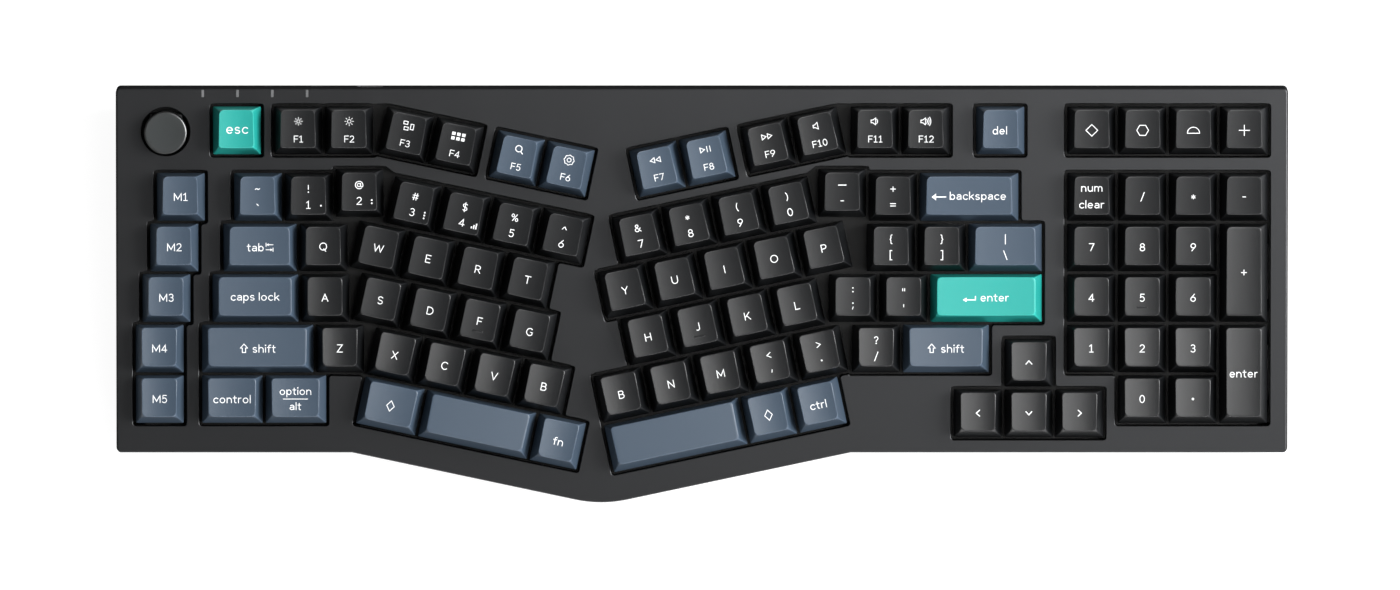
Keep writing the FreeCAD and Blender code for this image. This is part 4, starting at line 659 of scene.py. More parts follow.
# Each sign on a grid seven units tall: its width, then strokes of points "x,y", of arcs
# "x,y,across,along,from,to" in degrees and of dots "x,y,radius"; z closes a stroke and a lone slash starts
# the next one
signs = {
    "a": "4.4 .9,4.05 2.3,3.2,1.6,1.3,140,0 3.9,.5 / 3.9,2.75 2.1,1.65,1.6,1.1,90,270 3.9,1.3",
    "b": "4.7 .5,6.8 .5,.5 / 2.4,2.5,1.8,2,0,360 z",
    "c": "4.3 2.5,2.5,2,2,45,315",
    "d": "4.7 4.2,6.8 4.2,.5 / 2.3,2.5,1.8,2,0,360 z",
    "e": "4.7 .5,2.5 4.2,2.5 2.35,2.5,1.85,2,5,315",
    "f": "3 2.4,5.55,1.1,.95,60,180 1.3,.5 / .1,4.5 2.7,4.5",
    "h": "4.6 .5,6.8 .5,.5 / 2.3,2.7,1.8,1.8,180,0 4.1,.5",
    "i": "1 .5,4.5 .5,.5 / .5,6.3,.6",
    "k": "4.3 .5,6.8 .5,.5 / 3.7,4.5 .6,2 / 1.7,2.9 4,.5",
    "l": "1 .5,6.8 .5,.5",
    "m": "7 .5,4.5 .5,.5 / 2,3,1.5,1.5,180,0 3.5,.5 / 5,3,1.5,1.5,180,0 6.5,.5",
    "n": "4.6 .5,4.5 .5,.5 / 2.3,2.7,1.8,1.8,180,0 4.1,.5",
    "o": "5 2.5,2.5,2,2,0,360 z",
    "p": "4.7 .5,4.5 .5,-1.6 / 2.4,2.5,1.8,2,0,360 z",
    "r": "3 .5,4.5 .5,.5 / 2.2,2.8,1.7,1.7,180,75",
    "s": "4 2,3.5,1.4,1,35,270 2,1.5,1.5,1,90,-150",
    "t": "3.1 .1,4.5 2.8,4.5 / 1.3,6.1 1.3,1.6 2.3,1.5,1,1,180,285",
    "u": "4.6 .5,4.5 2.3,2.3,1.8,1.8,180,360 / 4.1,4.5 4.1,.5",
    "A": "5.8 .4,.5 2.9,6.5 5.4,.5 / 1.3,2.5 4.5,2.5",
    "B": "4.9 .5,.5 .5,6.5 2.7,5.1,1.5,1.4,90,-90 .5,3.7 / 2.7,3.7 2.8,2.1,1.8,1.6,90,-90 .5,.5",
    "C": "5.6 3.2,3.5,2.7,3,45,315",
    "D": "5.8 .5,.5 .5,6.5 2.4,3.5,2.9,3,90,-90 z",
    "E": "4.6 4.3,6.5 .5,6.5 .5,.5 4.3,.5 / .5,3.6 3.8,3.6",
    "F": "4.3 4.2,6.5 .5,6.5 .5,.5 / .5,3.5 3.7,3.5",
    "G": "6 3.2,3.5,2.7,3,50,320 5.3,3.3 3.7,3.3",
    "H": "5.6 .5,6.5 .5,.5 / 5.1,6.5 5.1,.5 / .5,3.5 5.1,3.5",
    "I": "1 .5,6.5 .5,.5",
    "J": "3.7 3.2,6.5 1.7,2,1.5,1.5,0,-130",
    "K": "5.2 .5,6.5 .5,.5 / 4.6,6.5 .7,2.6 / 2.1,4 4.9,.5",
    "L": "4.2 .5,6.5 .5,.5 4,.5",
    "M": "6.8 .5,.5 .5,6.5 3.4,1.6 6.3,6.5 6.3,.5",
    "N": "5.6 .5,.5 .5,6.5 5.1,.5 5.1,6.5",
    "O": "6.8 3.4,3.5,2.9,3,0,360 z",
    "P": "4.9 .5,.5 .5,6.5 2.7,4.8,1.8,1.7,90,-90 .5,3.1",
    "Q": "6.8 3.4,3.5,2.9,3,0,360 z / 3.9,1.6 5.6,-.6",
    "R": "5 .5,.5 .5,6.5 2.7,4.95,1.7,1.55,90,-90 .5,3.4 / 2.5,3.4 4.6,.5",
    "S": "4.8 2.4,5,1.8,1.5,30,270 2.4,2,1.9,1.5,90,-145",
    "T": "5 .2,6.5 4.8,6.5 / 2.5,6.5 2.5,.5",
    "U": "5.8 .5,6.5 2.9,2.9,2.4,2.4,180,360 5.3,6.5",
    "V": "5.8 .4,6.5 2.9,.5 5.4,6.5",
    "W": "8.6 .4,6.5 2.2,.5 4.3,6 6.4,.5 8.2,6.5",
    "X": "5.2 .4,6.5 4.8,.5 / 4.8,6.5 .4,.5",
    "Y": "5.4 .4,6.5 2.7,3.3 5,6.5 / 2.7,3.3 2.7,.5",
    "Z": "5.4 .6,6.5 4.8,6.5 .5,.5 4.9,.5",
    "0": "4.8 2.4,3.5,1.9,3,0,360 z",
    "1": "4 .6,5.3 2.1,6.5 2.1,.5 / .6,.5 3.6,.5",
    "2": "4.6 2.3,4.8,1.75,1.7,160,-35 .5,.5 4.2,.5",
    "3": "4.5 2.2,5.05,1.6,1.45,150,-90 2.2,2.1,1.8,1.6,90,-150",
    "4": "4.9 3.4,.5 3.4,6.5 .4,2.1 4.6,2.1",
    "5": "4.5 3.9,6.5 1.1,6.5 .8,3.7 2.1,2.4,1.9,1.9,120,-140",
    "6": "4.8 2.4,2.3,1.9,1.8,0,360 z / 3.5,6.5 .75,3.2",
    "7": "4.6 .4,6.5 4.3,6.5 1.6,.5",
    "8": "4.8 2.4,5.1,1.55,1.4,0,360 z / 2.4,2.1,1.9,1.6,0,360 z",
    "9": "4.8 2.4,4.7,1.9,1.8,0,360 z / 4.05,3.8 1.3,.5",
    "!": "1.2 .6,6.5 .6,2.9 / .6,.55,.6",
    "@": "7.6 5.1,4.4 6.1,2.3,1,1,180,360 3.8,2.9,3.3,3.3,0,310 / 3.6,2.9,1.4,1.5,0,360 z",
    "#": "5.4 1.9,6.5 1.3,.5 / 4.1,6.5 3.5,.5 / .4,4.6 5,4.6 / .2,2.4 4.8,2.4",
    "$": "4.8 2.4,5,1.8,1.5,30,270 2.4,2,1.9,1.5,90,-145 / 2.4,7.6 2.4,-.6",
    "%": "6.6 1.5,5.2,1.05,1.3,0,360 z / 5.1,1.8,1.05,1.3,0,360 z / 5,6.5 1.6,.5",
    "^": "4.6 .5,4.2 2.3,6.5 4.1,4.2",
    "&": "5.6 5.3,.5 1.45,4.7 2.4,5.4,1.2,1.1,205,-40 1.3,3.2 2.3,2,1.8,1.5,135,300 5,3.4",
    "*": "4.4 2.2,6.6 2.2,3.2 / .75,5.75 3.65,4.05 / .75,4.05 3.65,5.75",
    "(": "2.2 4.2,3.2,3.6,4.8,132,228",
    ")": "2.2 -2,3.2,3.6,4.8,48,-48",
    "-": "3 .3,2.9 2.7,2.9",
    "+": "5 .4,3.2 4.6,3.2 / 2.5,5.3 2.5,1.1",
    "=": "5 .4,4.2 4.6,4.2 / .4,2.2 4.6,2.2",
    "~": "4.6 .4,2.8 1.3,3.6 2,3.3 2.8,2.7 3.5,2.9 4.2,3.7",
    "`": "2.4 .8,6.6 2,5.4",
    "{": "2.6 2.2,7.2 1.5,7 1.2,6.3 1.2,4.3 .4,3.3 1.2,2.3 1.2,.3 1.5,-.4 2.2,-.6",
    "}": "2.6 .4,7.2 1.1,7 1.4,6.3 1.4,4.3 2.2,3.3 1.4,2.3 1.4,.3 1.1,-.4 .4,-.6",
    "[": "2.6 2.2,7.2 .7,7.2 .7,-.6 2.2,-.6",
    "]": "2.6 .4,7.2 1.9,7.2 1.9,-.6 .4,-.6",
    "|": "1 .5,7.4 .5,-1",
    "\\": "3.6 .4,7 3.2,-.4",
    "/": "3.6 3.2,7 .4,-.4",
    ":": "1.4 .7,4.2,.65 / .7,.9,.65",
    ";": "1.6 .8,4.2,.65 / 1,1 .5,-.8",
    "\"": "2.7 .5,6.8 .5,4.8 / 2.2,6.8 2.2,4.8",
    "'": "1 .5,6.8 .5,4.8",
    "<": "4.4 3.9,5.4 .6,3.2 3.9,1",
    ">": "4.4 .5,5.4 3.8,3.2 .5,1",
    ",": "1.5 1,1 .5,-.9",
    ".": "1.4 .7,.8,.75",
    "?": "4 2,5,1.5,1.5,165,-60 2,3 2,2.2 / 2,.7,.65",
}


# One stroke as a path: points as they are, arcs by cosine and sine of an angle that runs evenly over their
# own number of steps or one for each 20 degrees; repeated points are left out, and so is the last of a closed
# one that ends where it began
def strokePath(tokens, closed=False):
    parts = []
    for token in tokens:
        numbers = [float(number) for number in token.split(",")]
        if len(numbers) == 2:
            parts.append([numbers])
        else:
            x, y, across, along, first, last, *steps = numbers
            count = int(steps[0]) if steps else max(4, round(abs(last - first) / 20))
            turn = np.radians(np.linspace(first, last, count + 1))
            parts.append(np.stack([x + across * np.cos(turn), y + along * np.sin(turn)], -1))
    path = np.concatenate(parts)
    path = path[np.append(True, np.linalg.norm(np.diff(path, axis=0), axis=1) > 0.05)]
    return path[:-1] if closed and np.linalg.norm(path[-1] - path[0]) < 0.05 else path


# Strokes of a word, centred by its box: paths (closed or not) and dots, in millimetres
def wordStrokes(text, height):
    pen, strokes = 0.0, []
    for letter in text:
        if letter == " ":
            pen += lettering["space"]
            continue
        width, *tokens = signs[letter].split()
        while tokens:
            count = tokens.index("/") if "/" in tokens else len(tokens)
            stroke, tokens = tokens[:count], tokens[count + 1:]
            if stroke[0].count(",") == 2:
                x, y, radius = [float(number) for number in stroke[0].split(",")]
                strokes.append((arc(x + pen, y, radius, steps=12), "dot"))
            else:
                closed = stroke[-1] == "z"
                strokes.append((strokePath(stroke[:-1] if closed else stroke, closed) + (pen, 0), closed))
        pen += float(width) + lettering["between"]
    everything = np.concatenate([path for path, _ in strokes])
    middle = (everything.min(0) + everything.max(0)) / 2
    return [((path - middle) * (height / 7), closed) for path, closed in strokes]


# Further points on a path, at most one step apart, by its length from the start
def divided(path, closed):
    ends = np.vstack([path, path[:1]]) if closed else path
    reach = np.append(0, np.cumsum(np.linalg.norm(np.diff(ends, axis=0), axis=1)))
    extra = np.linspace(0, reach[-1], int(reach[-1] / lettering["step"]) + 2)
    extra = extra[np.abs(extra[:, None] - reach).min(1) > 0.2]
    marks = np.sort(np.append(reach, extra))
    marks = marks[:-1] if closed else marks
    return np.stack([np.interp(marks, reach, ends[:, 0]), np.interp(marks, reach, ends[:, 1])], -1)


def wordParts(text, height):
    width = lettering["weight"] * height / 7
    return [flatShape(path) if closed == "dot" else ribbon(divided(path, closed), width, closed)
            for path, closed in wordStrokes(text, height)]


# A flat ribbon along a path: each point moved square to the path by half the width, above and below by the
# thickness
def ribbon(path, width, closed=False):
    path = np.asarray(path, float)
    half, count = width / 2, len(path)
    if closed:
        before, after = np.roll(path, 1, 0), np.roll(path, -1, 0)
    else:
        before = np.vstack([2 * path[0] - path[1], path[:-1]])
        after = np.vstack([path[1:], 2 * path[-1] - path[-2]])
    first, second = path - before, after - path
    first /= np.linalg.norm(first, axis=1)[:, None]
    second /= np.linalg.norm(second, axis=1)[:, None]
    turn = first + second
    turn /= np.maximum(np.linalg.norm(turn, axis=1), 1e-6)[:, None]
    side = np.stack([-turn[:, 1], turn[:, 0]], -1)
    side *= (half / np.maximum((side * np.stack([-first[:, 1], first[:, 0]], -1)).sum(1), 0.5))[:, None]
    if not closed:
        path = path.copy()
        path[0] -= first[0] * half * 0.8
        path[-1] += second[-1] * half * 0.8
    high = lettering["thickness"]
    flat = [ringPoints((path + side * way).T, level)
            for way, level in ((-1, -high), (1, -high), (1, high), (-1, high))]
    points = np.stack(flat, 1).reshape(-1, 3)
    corner, last = np.arange(4), (count - 1) * 4
    if closed:
        ends = np.stack([last + corner, last + (corner + 1) % 4, (corner + 1) % 4, corner], -1)
    else:
        ends = np.array([[3, 2, 1, 0], corner + last])
    return points, [gridFaces(count, 4), ends]


# A filled flat shape: its outline above and below, joined round
def flatShape(outline):
    count, high = len(outline), lettering["thickness"]
    points = np.vstack([ringPoints(np.asarray(outline, float).T, level) for level in (-high, high)])
    return points, [gridFaces(2, count), np.arange(count)[None, ::-1], np.arange(count)[None] + count]


# Points of an arc: the middle plus the radius times cosine and sine, without the repeated last one of a full
# circle
def arc(x, y, radius, start=0, end=360, steps=16):
    turn = np.radians(np.linspace(start, end, steps + 1))
    if end - start == 360:
        turn = turn[:-1]
    return np.stack([x + radius * np.cos(turn), y + radius * np.sin(turn)], -1)


# Corners of a rectangle, anticlockwise from the front left
def box2d(left, right, front, back):
    return [(left, front), (right, front), (right, back), (left, back)]


# A cone that moves left as waves come out of it
def speaker(waves):
    left = -0.5 * waves ** 0.5
    cone = np.array([(-1.15, 0.5), (-0.5, 0.5), (0.55, 1.3), (0.55, -1.3), (-0.5, -0.5),
                     (-1.15, -0.5)]) + (left, 0)
    return [ribbon(cone, 0.27, True)] + [ribbon(arc(left - 0.2, 0, 1.45 + 0.66 * number, -34, 34, 6), 0.27)
                                         for number in range(waves)]


# A ring with eight rays, each between two radii
def sun(size):
    rays = []
    for turn in np.radians(np.arange(0, 360, 45)):
        way = np.array([math.cos(turn), math.sin(turn)])
        rays.append(ribbon([size * 0.68 * way, size * 0.95 * way], 0.2))
    return [ribbon(arc(0, 0, size * 0.38), 0.2, True)] + rays


# A ring whose radius swings eight times round, with a hub
def gear():
    turn = np.radians(np.arange(0, 360, 7.5))
    radius = 1.8 + 0.14 * np.cos(turn * 8)
    return [ribbon(np.stack([radius * np.cos(turn), radius * np.sin(turn)], -1), 0.28, True),
            ribbon(arc(0, 0, 0.75), 0.28, True)]


# Icons in millimetres: some drawn, the others as strokes, each with its width, z before the width of a closed
# one, or f alone for a filled one
icons = {
    "smallSun": lambda: sun(1.6), "sun": lambda: sun(1.75), "gear": gear,
    "speaker": lambda: speaker(0), "speaker1": lambda: speaker(1), "speaker3": lambda: speaker(3),
    "windows": lambda: [ribbon(box2d(*sides), 0.28, True) for sides in (
        (-2.0, -0.5, 0.5, 1.6), (-1.5, 0.0, -1.6, -0.5), (0.8, 1.9, -1.1, 0.9))],
    "grid": lambda: [flatShape(box2d(x - 0.64, x + 0.64, y - 0.6, y + 0.6)) for x in (-1.9, 0, 1.9)
                     for y in (-0.88, 0.88)],
    "bars": lambda: [flatShape(box2d(x - 0.24, x + 0.24, -1.1, -1.1 + tall))
                     for x, tall in ((-0.85, 0.8), (0, 1.5), (0.85, 2.2))],
    "lens": "z.33 -.25,.25,1.2,1.2,0,360,16 / .37 .65,-.65 1.45,-1.45",
    "rewind": "z.27 -.43,.96 -2.05,0 -.43,-.96 / z.27 1.77,.96 .15,0 1.77,-.96",
    "forward": "z.27 -1.77,.96 -.15,0 -1.77,-.96 / z.27 .43,.96 2.05,0 .43,-.96",
    "play": "z.27 -1.92,.96 -.3,0 -1.92,-.96 / .27 .65,1.05 .65,-1.05 / .27 1.8,1.05 1.8,-1.05",
    "diamond": "z.28 0,-2.2 2.2,0 0,2.2 -2.2,0",
    "hexagon": "z.28 0,0,2.2,2.2,0,360,6",
    "halfDisc": "z.28 0,-1.1,2.3,2.3,0,180,12",
    "plus": ".28 -2,0 2,0 / .28 0,-2 0,-.23 / .28 0,.23 0,2",
    "dots1": "f 0,0,.34,.34,0,360,10",
    "dots2": "f 0,-.6,.34,.34,0,360,10 / f 0,.6,.34,.34,0,360,10",
    "dots3": "f 0,-1.1,.34,.34,0,360,10 / f 0,0,.34,.34,0,360,10 / f 0,1.1,.34,.34,0,360,10",
    "dash": ".37 -1.4,0 1.4,0",
    "leftArrow": ".4 -1.5,0 2.65,0 / f -2.65,0 -1,-1.3 -1,1.3",
    "enterArrow": ".37 -1.4,-.35 2.3,-.35 2.3,.95 / f -2.45,-.35 -1,-1.2 -1,.5",
    "shiftArrow": "z.3 0,1.65 1.35,.15 .62,.15 .62,-1.5 -.62,-1.5 -.62,.15 -1.35,.15",
    "tabs": ".27 -.5,.95 1.3,.95 / f -1.2,.95 -.3,.45 -.3,1.45 / .27 -1.3,.3 -1.3,1.6"
            " / .27 .5,-.95 -1.3,-.95 / f 1.2,-.95 .3,-1.45 .3,-.45 / .27 1.3,-1.6 1.3,-.3",
    "rule": ".26 -4.6,0 0,0 4.6,0",
    "lozenge": "z.28 0,-1.95 1.45,0 0,1.95 -1.45,0",
    "up": ".37 -1.1,-.55 0,.65 1.1,-.55",
    "down": ".37 -1.1,.55 0,-.65 1.1,.55",
    "left": ".37 .55,-1.1 -.65,0 .55,1.1",
    "right": ".37 -.55,-1.1 .65,0 -.55,1.1",
    "dot": "f 0,0,.45,.45,0,360,14",
}


def iconParts(icon):
    if callable(icon):
        return icon()
    parts = []
    for stroke in icon.split(" / "):
        kind, *tokens = stroke.split()
        closed = kind[0] in "zf"
        path = strokePath(tokens, closed)
        parts.append(flatShape(path) if kind == "f" else ribbon(path, float(kind.strip("z")), closed))
    return parts


# A legend lies on the cap: its own height goes on top of the top's level there
def addLegends(surface, key):
    middle = (caps["front"] - caps["back"]) / 2 - lettering["lower"]
    for what, x, y, height in key["legend"]:
        known = what[0] == "@" and what[1:] in icons
        parts = iconParts(icons[what[1:]]) if known else wordParts(what, height)
        for number, (points, faces) in enumerate(parts):  # overlapping strokes lie a little over each other
            points = points + (x, y + middle, number * lettering["lift"])
            points[:, 2] += topLevel(key, points[:, 0], points[:, 1]) + lettering["thickness"] * 0.4
            addOnKey(surface, key, points, faces, smooth=False)


tones = {"black": ("blackCaps", "black_plastic", ""), "blue": ("blueGreyCaps", "blue_grey_plastic", "_blue"),
         "teal": ("tealCaps", "teal_plastic", "_teal")}
for group, keys in keyGroups.items():
    body, run = group + ("_cap" if group.startswith("key_") else "_caps"), group.split("_", 1)[1]
    ink = Surface()
    for tone in sorted({key["tone"] for key in keys}):
        finish, slot, suffix = tones[tone]
        surface = Surface()
        for key in keys:
            if key["tone"] == tone:
                addCap(surface, key)
                addSliders(surface, key)
                if key["homing"]:
                    addHoming(surface, key)
                addLegends(ink, key)
        makePiece("caps_" + run + suffix, surface, [finish, "sliderPlastic"], body, [group])
    if ink.count:
        makePiece("legends_" + run, ink, ["legendInk"], body, angle=20)
print("caps and legends done")

# Upper shell, in millimetres
shell = {"width": 439.98, "depth": 137.13, "height": 15.4, "deck": 5.0, "wall": 4.0, "edge": 0.4,
         "draft": 0.35,
         "rim": 0.3, "foot": 0.3, "upright": 3.0, "corner": 1.7, "openingCorner": 1.1, "margin": 0.53,
         "chinRadius": 47.0, "borderFront": 10.57, "edgeWearAndHighlight": 1.0, "rimWear": 0.3}
halfWidth = shell["width"] / 2
knobHole = {"fromSide": 18.8, "fromBack": 16.2, "radius": 9.1, "columns": 48}
knobPlace = np.array([-halfWidth + knobHole["fromSide"], shell["depth"] - knobHole["fromBack"]])
# Four windows for the light guides: half width, from the back edge to both ends, depth
lights = {"fromSide": 32.7, "spacing": 13.05, "half": 0.5, "front": 3.2, "rear": 0.42, "corner": 0.2,
          "depth": 1.5, "gap": 0.04}
lightPlaces = [-halfWidth + lights["fromSide"] + number * lights["spacing"] for number in range(4)]
# Windows of the back wall, at one level: middle from the side, width, height and corner radius
backWindows = {"level": -11.4, "port": (96.0, 12.0, 6.0, 2.2), "mode": (77.0, 7.0, 2.6, 0.5),
               "system": (58.0, 5.0, 2.6, 0.5)}


# Outward mitre normals of a closed polygon, anticlockwise: both sides' normals over one plus their product
def mitres(corners):
    before = corners - np.roll(corners, 1, 0)
    after = np.roll(corners, -1, 0) - corners
    before /= np.linalg.norm(before, axis=1)[:, None]
    after /= np.linalg.norm(after, axis=1)[:, None]
    first = np.stack([before[:, 1], -before[:, 0]], -1)
    second = np.stack([after[:, 1], -after[:, 0]], -1)
    return (first + second) / (1 + (first * second).sum(1))[:, None], first, second


# A polygon with rounded corners as a loop of points with outward normals: each corner's arc starts back along
# its side by the radius times the tangent of half the turn, and its normals turn evenly from one side's to
# the next
def roundedLoop(corners, radii, steps=5):
    corners = np.asarray(corners, float)
    normals, first, second = mitres(corners)
    lengths = np.linalg.norm(np.roll(corners, -1, 0) - corners, axis=1)
    points, outward = [], []
    for number, corner in enumerate(corners):
        turn = math.atan2(first[number][0] * second[number][1] - first[number][1] * second[number][0],
                          first[number] @ second[number])
        room = min(lengths[number], lengths[number - 1]) * 0.48
        radius = min(radii[number], room / max(abs(math.tan(turn / 2)), 1e-6))
        if radius < 1e-3 or abs(turn) < math.radians(3):
            points.append(corner[None])
            outward.append(normals[number][None])
            continue
        way = math.copysign(1, turn)
        along = np.array([-first[number][1], first[number][0]])
        start = corner - along * radius * abs(math.tan(turn / 2))
        centre = start - first[number] * radius * way
        count = steps if abs(turn) > 0.5 or radius < 10 else 12
        bend = turn * np.linspace(0, 1, count + 1)
        out = np.stack([first[number][0] * np.cos(bend) - first[number][1] * np.sin(bend),
                        first[number][0] * np.sin(bend) + first[number][1] * np.cos(bend)], -1)
        points.append(centre + out * radius * way)
        outward.append(out)
    return np.concatenate(points), np.concatenate(outward)


# A profile of (outward offset, level) pairs carried round a loop: each point plus its normal times the offset
def carried(points, normals, profile):
    offsets, levels = np.asarray(profile, float).T
    plan = points[None] + normals[None] * offsets[:, None, None]
    return np.concatenate([plan, np.broadcast_to(levels[:, None, None], plan.shape[:2] + (1,))], -1)


# A quarter round as (offset, level) pairs, from the wall up to the top face: the radius times cosine less one
# and sine less one
def easedEdge(radius):
    return [(radius * (math.cos(step) - 1), -radius * (1 - math.sin(step)))
            for step in np.linspace(0, math.pi / 2, 4)]


# Corners of a run of key cells, anticlockwise from the front left
def cells(block, left, top, width, height=1.0):
    return [blockPoint(block, *place) for place in box2d(left, left + width, top + height, top)]


# Corners of a stepped side, one edge for each row, without the corners where two rows agree
def stepped(block, edges, climbing=False):
    corners = []
    for number, edge in enumerate(edges):
        if number == 0 or edges[number - 1] != edge:
            corners.append(blockPoint(block, edge, number))
        if number == len(edges) - 1 or edges[number + 1] != edge:
            corners.append(blockPoint(block, edge, number + 1))
    return corners[::-1] if climbing else corners


def joinedRow(first, second):
    return first[:2] + second + first[2:]


def padOpening():
    whole, notch = cells(straight, padLeft, 0, 4, 5), cells(straight, padLeft, 4, 1)
    return [notch[1], *whole[1:], notch[3], notch[2]]


def arrowOpening():
    left, down = layout["arrowLeft"], layout["arrowRow"]
    foot, head = cells(straight, left, down, 3), cells(straight, left + 1, down - 1, 1)
    return [*foot[:3], *head[1:], head[0], foot[3]]


openings = [
    cells(straight, 1.529, fRow, 1),
    joinedRow(cells(straight, 2.739, fRow, 2), cells(leftBlock, -4.43, fRow, 2)),
    cells(leftBlock, -2.203, fRow, 2),
    cells(rightBlock, 0.615, slantedRow, 2),
    joinedRow(cells(rightBlock, 2.846, slantedRow, 2), cells(straight, 14.091, fRow, 2)),
    cells(straight, 16.564, fRow, 1),
    cells(straight, padLeft, fRow, 4),
    stepped(straight, layout["macroEdges"])
    + stepped(straight, [edge + 1 for edge in layout["macroEdges"]], True),
    stepped(straight, layout["firstEdges"])
    + [blockPoint(straight, 3.807, 5), blockPoint(straight, 3.807, 4), blockPoint(leftBlock, -3.75, 4),
       blockPoint(leftBlock, -3.75, 5)]
    + stepped(leftBlock, [0, -0.5, -0.25, 0.25, 0.75], True)
    + [blockPoint(leftBlock, -4, 0), blockPoint(straight, 4.943, raised), blockPoint(straight, 3.943, raised),
       blockPoint(straight, 3.943, 0)],
    stepped(rightBlock, [0, -0.5, -0.25, -1, -1])
    + [blockPoint(rightBlock, 3.75, 5), blockPoint(rightBlock, 3.75, 4), blockPoint(rightBlock, 4, 4),
       blockPoint(straight, 14.12, 4)]
    + stepped(straight, [17.448, 17.91, 17.91, 16.87], True)
    + [blockPoint(straight, 14.448, 0), blockPoint(straight, 14.448, raised),
       blockPoint(straight, 13.448, raised), blockPoint(rightBlock, 4, 0)],
    arrowOpening(),
    padOpening(),
]


# Case outline: straight edges, and a front edge that runs parallel to the two angled blocks
def caseCorners():
    slant = math.radians(layout["angle"])
    foot = blockPoint(leftBlock, 0, 5) - leftBlock["back"] * shell["borderFront"]
    axis = layout["left"] + layout["borderLeft"] + layout["axis"] * pitch
    nose = foot[1] - (axis - foot[0]) * math.tan(slant)
    reach = -nose / math.tan(slant)
    return [(-halfWidth, 0), (axis - reach, 0), (axis, nose), (axis + reach, 0), (halfWidth, 0),
            (halfWidth, shell["depth"]), (-halfWidth, shell["depth"])]


# Rings of an opening from the top face down: over an eased edge laid on its side, then straight through the
# deck
def openingRings(loop, out):
    return carried(loop, out, [(-level, offset) for offset, level in easedEdge(shell["rim"])]
                   + [(0, -shell["deck"])])


def addOpening(surface, rings):
    rim = np.zeros(rings.shape[:2])
    rim[:-1] = shell["rimWear"]
    surface.add(rings, [gridFaces(*rings.shape[:2])], rim=rim.ravel())


# Flat face inside the first ring and outside the others
def fillRings(surface, rings, mark=0):
    triangles = tessellate_polygon([[tuple(point) for point in ring] for ring in rings])
    surface.add(np.concatenate(rings), [np.array(triangles)], mark, smooth=False)


# Outer wall: from under the deck down the inside, round the foot and up to the eased edge, carried round the
# outline; two faces along the back stay open for the windows
def addOuterWall(surface):
    corner, edge, wall, foot = shell["corner"], shell["edge"], shell["wall"], -shell["height"]
    radii = [corner, 0, shell["chinRadius"], 0, corner, corner, corner]
    outline, normals = roundedLoop(caseCorners(), radii, 6)
    profile = [(-wall, -shell["deck"]), (-wall, foot), (-shell["foot"], foot), (0, shell["foot"] + foot),
               (0, -shell["upright"]), (0, -edge - 0.2)]
    outer = carried(outline, normals, profile + easedEdge(edge))
    outer[5:, :, 0] -= shell["draft"] * normals[:, 0]  # the sides draw in a little to the top face
    rows, columns = outer.shape[:2]
    faces = gridFaces(rows, columns)
    lengths = np.linalg.norm(np.roll(outline, -1, 0) - outline, axis=1)
    lengths *= outline[:, 1] > shell["depth"] - 0.01
    back = int(lengths.argmax())  # the long straight piece along the back
    kept = np.ones(len(faces), bool)
    kept[[back, 3 * columns + back]] = False
    rim = np.zeros((rows, columns))
    # the eased top edge takes the lighter worn tone: part edge wear, part painted highlight
    rim[6:] = shell["edgeWearAndHighlight"]
    # painted shade: the outer wall's sides take the darker, duller wall tone, which stands in for the shade
    # they fall in
    sides = np.repeat(np.isin(np.arange(rows - 1), (2, 3, 4, 5)), columns)
    surface.add(outer, [faces[kept & ~sides]], rim=rim.ravel())
    surface.add(outer, [faces[kept & sides]], 1)
    return outer, back, (back + 1) % columns


# The inner and the outer face of the back wall, with the windows between them
def addBackWindows(surface, outer, back, following):
    for number, level in ((0, shell["depth"] - shell["wall"]), (3, shell["depth"])):
        windows = []
        for side, width, height, bend in [backWindows[name] for name in ("port", "mode", "system")]:
            x, z = side - halfWidth, backWindows["level"]
            loop, _ = roundedLoop(box2d(x - width / 2, x + width / 2, z - height / 2, z + height / 2),
                                  [bend] * 4)
            windows.append(np.column_stack([loop[:, 0], np.full(len(loop), level), loop[:, 1]]))
            if number:
                inner = windows[-1] - (0, shell["wall"], 0)
                surface.add(np.stack([windows[-1], inner]), [gridFaces(2, len(loop))])
        corners = [outer[number, back], outer[number, following], outer[number + 1, following],
                   outer[number + 1, back]]
        # the outer face takes the darker wall tone, which is painted shade
        fillRings(surface, [np.array(corners)] + windows, 1 if number else 0)


def makeShell():
    surface = Surface()
    outer, back, following = addOuterWall(surface)
    holes = []
    for corners in openings:
        corners = np.array(corners)
        loop, out = roundedLoop(corners + mitres(corners)[0] * shell["margin"],
                                [shell["openingCorner"]] * len(corners))
        holes.append(openingRings(loop, out))
    out = arc(0, 0, 1, steps=knobHole["columns"])
    holes.append(openingRings(knobPlace + out * knobHole["radius"], out))
    for rings in holes:
        addOpening(surface, rings)
    topRings = [outer[-1]] + [rings[0] for rings in holes]
    deckRings = [outer[0]] + [rings[-1] for rings in holes]
    for x in lightPlaces:
        window = box2d(x - lights["half"], x + lights["half"], shell["depth"] - lights["front"],
                       shell["depth"] - lights["rear"])
        loop, out = roundedLoop(window, [lights["corner"]] * 4, 2)
        rings = carried(loop, out, [(0, 0), (0, -lights["depth"])])
        addOpening(surface, rings)
        topRings.append(rings[0])
        fillRings(surface, [rings[-1]])
    fillRings(surface, topRings)
    fillRings(surface, deckRings)
    addBackWindows(surface, outer, back, following)
    makePiece("upper_shell", surface, ["anodisedCase", "caseWallsPaintedShade"], "case", ["top_case"],
              angle=32, settle=True)


makeShell()
print("upper shell done")


# Angles of the columns of a turned part
def fullTurn(columns):
    return np.linspace(0, 2 * math.pi, columns + 1)[:-1]


# A turned part about a place: rows of (radius, level, wear), each the radius times cosine and sine of the
# angle, with one point at each end; the wear comes back as the rim mask
def turnedPart(profile, turn, x, y, startLevel, endLevel):
    rings = np.stack([ringPoints((x + around * np.cos(turn), y + around * np.sin(turn)), level)
                      for around, level, _ in profile])
    points, faces = closedRings(rings, (x, y, startLevel), (x, y, endLevel))
    return points, faces, np.append(np.repeat([wear for *_, wear in profile], len(turn)), (0, 0))


